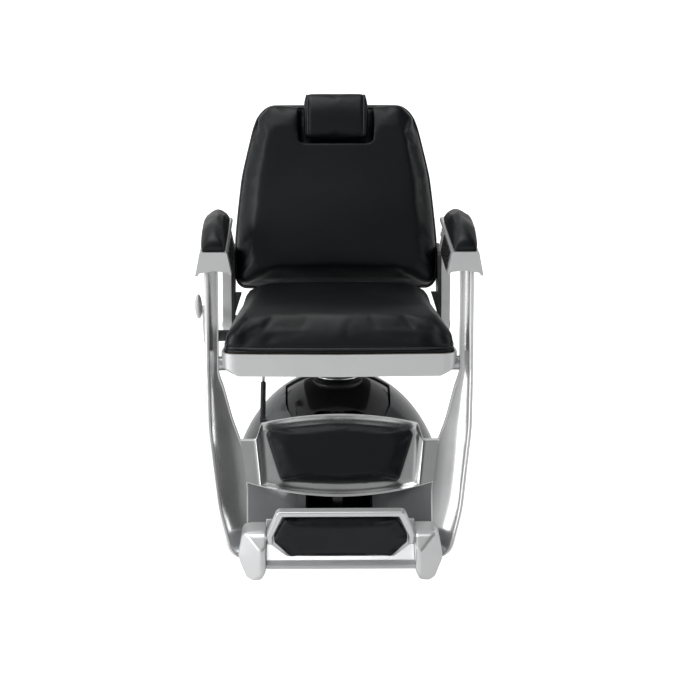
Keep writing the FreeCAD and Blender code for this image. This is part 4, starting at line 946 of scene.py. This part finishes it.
def make_calf_plate(columns=140, rows=28, thick=9 * MM):
    work = bmesh.new()
    sheets = {}
    for column in range(columns + 1):
        x = -plate_half + 2 * plate_half * column / columns
        bottom, top = plate_limits(x)
        for row in range(rows + 1):
            share = (1 - math.cos(math.pi * row / rows)) / 2
            height = bottom + (top - bottom) * share
            edge = min(height - bottom, top - height, RAISED_HALF + 10 * MM - abs(x))
            inside = min(1.0, max(0.0, (edge - RIM_WIDE) / (3 * RIM_WIDE)))
            dish = RECESS * inside * inside * (3 - 2 * inside)
            bead = 0.0
            if edge < RIM_WIDE:
                bead = RIM_RISE * math.sin(math.pi * max(0.0, edge / RIM_WIDE))
            place = plate_up * height + Vector((x * (1 - FOOT_NARROWING * (1 - share)), 0, 0))
            sheets[0, column, row] = work.verts.new(place + plate_front * (plate_level + bead - dish))
            sheets[1, column, row] = work.verts.new(place + plate_front * (plate_level - thick))
    for column in range(columns):
        for row in range(rows):
            for sheet in (0, 1):
                work.faces.new([sheets[sheet, column, row], sheets[sheet, column + 1, row],
                                sheets[sheet, column + 1, row + 1], sheets[sheet, column, row + 1]])
        # Painted highlight: the top and bottom edge faces take the lighter rib metal.
        for row in (0, rows):
            face = work.faces.new([sheets[0, column, row], sheets[0, column + 1, row],
                                   sheets[1, column + 1, row], sheets[1, column, row]])
            face.material_index = 1
    for row in range(rows):
        for column in (0, columns):
            work.faces.new([sheets[0, column, row], sheets[0, column, row + 1],
                            sheets[1, column, row + 1], sheets[1, column, row]])
    # Painted highlight: faces within the rim's width of the edge take the lighter rib metal over the real
    # raised bead.
    for face in work.faces:
        middle_place = face.calc_center_median()
        bottom, top = plate_limits(middle_place.x)
        height = middle_place.dot(plate_up)
        if min(height - bottom, top - height) < RIM_WIDE:
            face.material_index = 1
    bmesh.ops.recalc_face_normals(work, faces=work.faces[:])
    mesh = bpy.data.meshes.new("calf_casting")
    work.to_mesh(mesh)
    work.free()
    mesh.materials.append(MATERIALS["cast_face"])
    mesh.materials.append(MATERIALS["cast_painted_highlight"])
    piece = bpy.data.objects.new("calf_casting", mesh)
    scene.collection.objects.link(piece)
    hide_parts("calf_plate")
    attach(piece, "legrest")
    return piece


castings.append(make_calf_plate())
print("calf casting", len(castings[-1].data.polygons), "faces")

# %% [markdown]
# ## Toe lobes
# Two smooth cast feet that carry the foot board. The frame's faceted lobe is remeshed, lowered at its top
# and smoothed until its facets flow into each other, keeping a soft ridge down the front.

# %% Toe lobes
LOBE_TOP_DROP = 14 * MM
LOBE_NARROWING = 0.16
for side, label in ((-1, "left"), (1, "right")):
    node = "toe_lobe_" + label
    lobe = copy_of(node, "toe_casting_" + label)
    remesh = lobe.modifiers.new("remesh", "REMESH")
    remesh.mode = "VOXEL"
    remesh.voxel_size = 2.5 * MM
    apply_modifiers(lobe)
    lobe_low = low(node)
    lobe_high = high(node)
    lobe_tall = lobe_high.z - lobe_low.z
    inner = lobe_high.x if side < 0 else lobe_low.x

    def lobe_rule(place):
        """Lowers the top, and narrows the upper part towards the foot board's side."""
        share = (place.z - lobe_low.z) / lobe_tall
        level = place.z - LOBE_TOP_DROP * max(0.0, share - 0.5) / 0.5
        pull = LOBE_NARROWING * max(0.0, share - 0.45) / 0.55
        return Vector((place.x + (inner - place.x) * pull, place.y, level))

    reshape(lobe, lobe_rule)
    relax(lobe, 14)
    lobe.data.materials.clear()
    lobe.data.materials.append(MATERIALS["aluminium"])
    lobe.data.shade_smooth()
    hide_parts(node)
    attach(lobe, "legrest")
print("toe castings made")

# %% [markdown]
# ## Rims and lever paddle
# The foot frame ends in a rolled, polished rim with a finer one inside it. Both follow the frame's upper
# edge, found by slicing its mesh, so they stay on the metal. The hand lever ends in a leaf-shaped paddle.

# %% Rims


def edge_path(node, count, margin=2 * MM):
    """Points along the front of a piece's upper edge, from left to right."""
    mesh = nodes[node].data
    left = low(node).x + margin
    right = high(node).x - margin
    path = []
    for number in range(count + 1):
        x = left + (right - left) * number / count
        cutter = bmesh.new()
        cutter.from_mesh(mesh)
        found = bmesh.ops.bisect_plane(
            cutter, geom=cutter.verts[:] + cutter.edges[:] + cutter.faces[:],
            plane_co=Vector((x, 0, 0)), plane_no=Vector((1, 0, 0)), dist=1e-7)
        points = [item.co.copy() for item in found["geom_cut"] if isinstance(item, bmesh.types.BMVert)]
        cutter.free()
        edge = max(p.z for p in points)
        near = [p for p in points if p.z > edge - 3 * MM]
        path.append(min(near, key=lambda p: p.y))
    return path


hoop_low = low("foot_frame")
hoop_high = high("foot_frame")
hoop_middle = (hoop_low.x + hoop_high.x) / 2
hoop = averaged(edge_path("foot_frame", 40), 1, closed=False)
for name, shift, radius in (("foot_rim", 4.5 * MM, 4.2 * MM), ("foot_rim_inner", 12 * MM, 3.0 * MM)):
    inset = [Vector((hoop_middle + (p.x - hoop_middle) * (1 - shift / hoop_high.x), p.y - 0.5 * MM,
                     p.z - shift)) for p in hoop]
    tube(name, inset, radius, "foot_board", MATERIALS["chrome"], closed=False)

# %% Lever paddle
leaf_low = low("lever_grip")
leaf_high = high("lever_grip")
leaf_middle = (leaf_low + leaf_high) / 2
leaf_half = (leaf_high - leaf_low) / 2
LEAF_LEAN = math.radians(40)
LEAF_HALF_WIDTH = 19 * MM
LEAF_HALF_LENGTH = 44 * MM
LEAF_NARROWING = 0.35
work = bmesh.new()
bmesh.ops.create_uvsphere(work, u_segments=32, v_segments=24, radius=1.0)
for vertex in work.verts:
    point = vertex.co.copy()
    narrow = 1 - LEAF_NARROWING * max(0.0, -point.z) ** 2
    flat = Vector((point.x * leaf_half.x, point.y * LEAF_HALF_WIDTH * narrow, point.z * LEAF_HALF_LENGTH))
    flat.rotate(Matrix.Rotation(LEAF_LEAN, 3, "X"))
    vertex.co = leaf_middle + flat
leaf_mesh = bpy.data.meshes.new("lever_paddle")
work.to_mesh(leaf_mesh)
work.free()
leaf_mesh.materials.append(MATERIALS["lever_grey"])
leaf_mesh.shade_smooth()
leaf = bpy.data.objects.new("lever_paddle", leaf_mesh)
scene.collection.objects.link(leaf)
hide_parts("lever_grip")
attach(leaf, "hand_lever")
print("rims and paddle made")

# %% [markdown]
# ## Softened edges on the metalwork
# Castings and pressings have no knife edges. Each hard piece keeps its mesh and gets modifiers: leave out
# the stored normals, weld, merge flat triangles, a small bevel, and smooth shading up to a limit angle. The
# stored normals belong to the unbevelled triangles, so they would spoil the shading of the bevels.

# %% Edge modifiers
SHADE_LIMIT = math.radians(38)
BEVEL_LIMIT = math.radians(35)
FLAT_LIMIT = math.radians(0.6)
WELD_DISTANCE = 0.02 * MM


def new_geometry_group(name):
    """A geometry node group with one geometry in and one out."""
    tree = bpy.data.node_groups.new(name, "GeometryNodeTree")
    tree.interface.new_socket("Geometry", in_out="INPUT", socket_type="NodeSocketGeometry")
    tree.interface.new_socket("Geometry", in_out="OUTPUT", socket_type="NodeSocketGeometry")
    return tree, tree.nodes.new("NodeGroupInput"), tree.nodes.new("NodeGroupOutput")


def make_normals_group():
    """Leaves the stored normals out of what the next modifiers get; the mesh itself keeps them."""
    tree, given, out = new_geometry_group("without_stored_normals")
    bare = value_node(tree, "GeometryNodeRemoveAttribute", {}, {
        "Geometry": given.outputs[0], "Name": "custom_normal"})
    tree.links.new(bare.outputs[0], out.inputs[0])
    return tree


def make_shading_group():
    """Smooth shading everywhere except over edges sharper than the limit."""
    tree, given, out = new_geometry_group("smooth_under_limit")
    angle = tree.nodes.new("GeometryNodeInputMeshEdgeAngle")
    sharp = value_node(tree, "FunctionNodeCompare", {"operation": "GREATER_THAN"}, {
        0: angle.outputs["Unsigned Angle"], 1: SHADE_LIMIT})
    faces = value_node(tree, "GeometryNodeSetShadeSmooth", {"domain": "FACE"}, {
        "Geometry": given.outputs[0], "Shade Smooth": True})
    edges = value_node(tree, "GeometryNodeSetShadeSmooth", {"domain": "EDGE"}, {
        "Geometry": faces.outputs[0], "Selection": sharp.outputs[0], "Shade Smooth": False})
    tree.links.new(edges.outputs[0], out.inputs[0])
    return tree


BARE_NORMALS = make_normals_group()
SHADING = make_shading_group()


def soften(piece, width, segments=3):
    """Welds, merges flat triangles, bevels and smooths a hard piece, all as modifiers."""
    if "custom_normal" in piece.data.attributes:
        bare = piece.modifiers.new("bare_normals", "NODES")
        bare.node_group = BARE_NORMALS
    weld = piece.modifiers.new("weld", "WELD")
    weld.merge_threshold = WELD_DISTANCE
    flat = piece.modifiers.new("flat", "DECIMATE")
    flat.decimate_type = "DISSOLVE"
    flat.angle_limit = FLAT_LIMIT
    if width:
        bevel = piece.modifiers.new("bevel", "BEVEL")
        bevel.width = width
        bevel.segments = segments
        bevel.limit_method = "ANGLE"
        bevel.angle_limit = BEVEL_LIMIT
        bevel.miter_outer = "MITER_ARC"
    shading = piece.modifiers.new("shading", "NODES")
    shading.node_group = SHADING
    weighted = piece.modifiers.new("weighted", "WEIGHTED_NORMAL")
    weighted.keep_sharp = True


EDGE_WIDTHS = {
    "armrest_left": 1.2, "armrest_right": 1.2, "seat_pan": 2, "foot_frame": 2.5, "foot_beam": 1.5,
    "rear_link_left": 3, "rear_link_right": 3, "lever_arm": 1.5, "lever_boss": 1, "cowl_shell": 1,
    "cowl_cap": 1, "cowl_liner": 0.8, "back_shell": 2, "back_bracket_left": 1.5, "back_bracket_right": 1.5,
    "rear_bracket_left": 1.5, "rear_bracket_right": 1.5, "base_plate": 1, "hydraulic_cylinder": 1,
    "cylinder_gland": 0.6, "ram_flange": 0.6, "swivel_spindle": 0.8, "seat_yoke": 1.5, "headrest_plate": 1,
    "pump_body": 3, "arm_panel_left": 0.6, "arm_panel_right": 0.6, "hub_spacers": 1, "hub_axle": 1,
}
shown = [name for name, node_object in nodes.items() if not node_object.hide_render]
for name in shown:
    soften(nodes[name], EDGE_WIDTHS.get(name, 0) * MM)
for casting in castings:
    shading = casting.modifiers.new("shading", "NODES")
    shading.node_group = SHADING
print("softened", len(shown), "nodes, of which", len(EDGE_WIDTHS), "with a bevel")
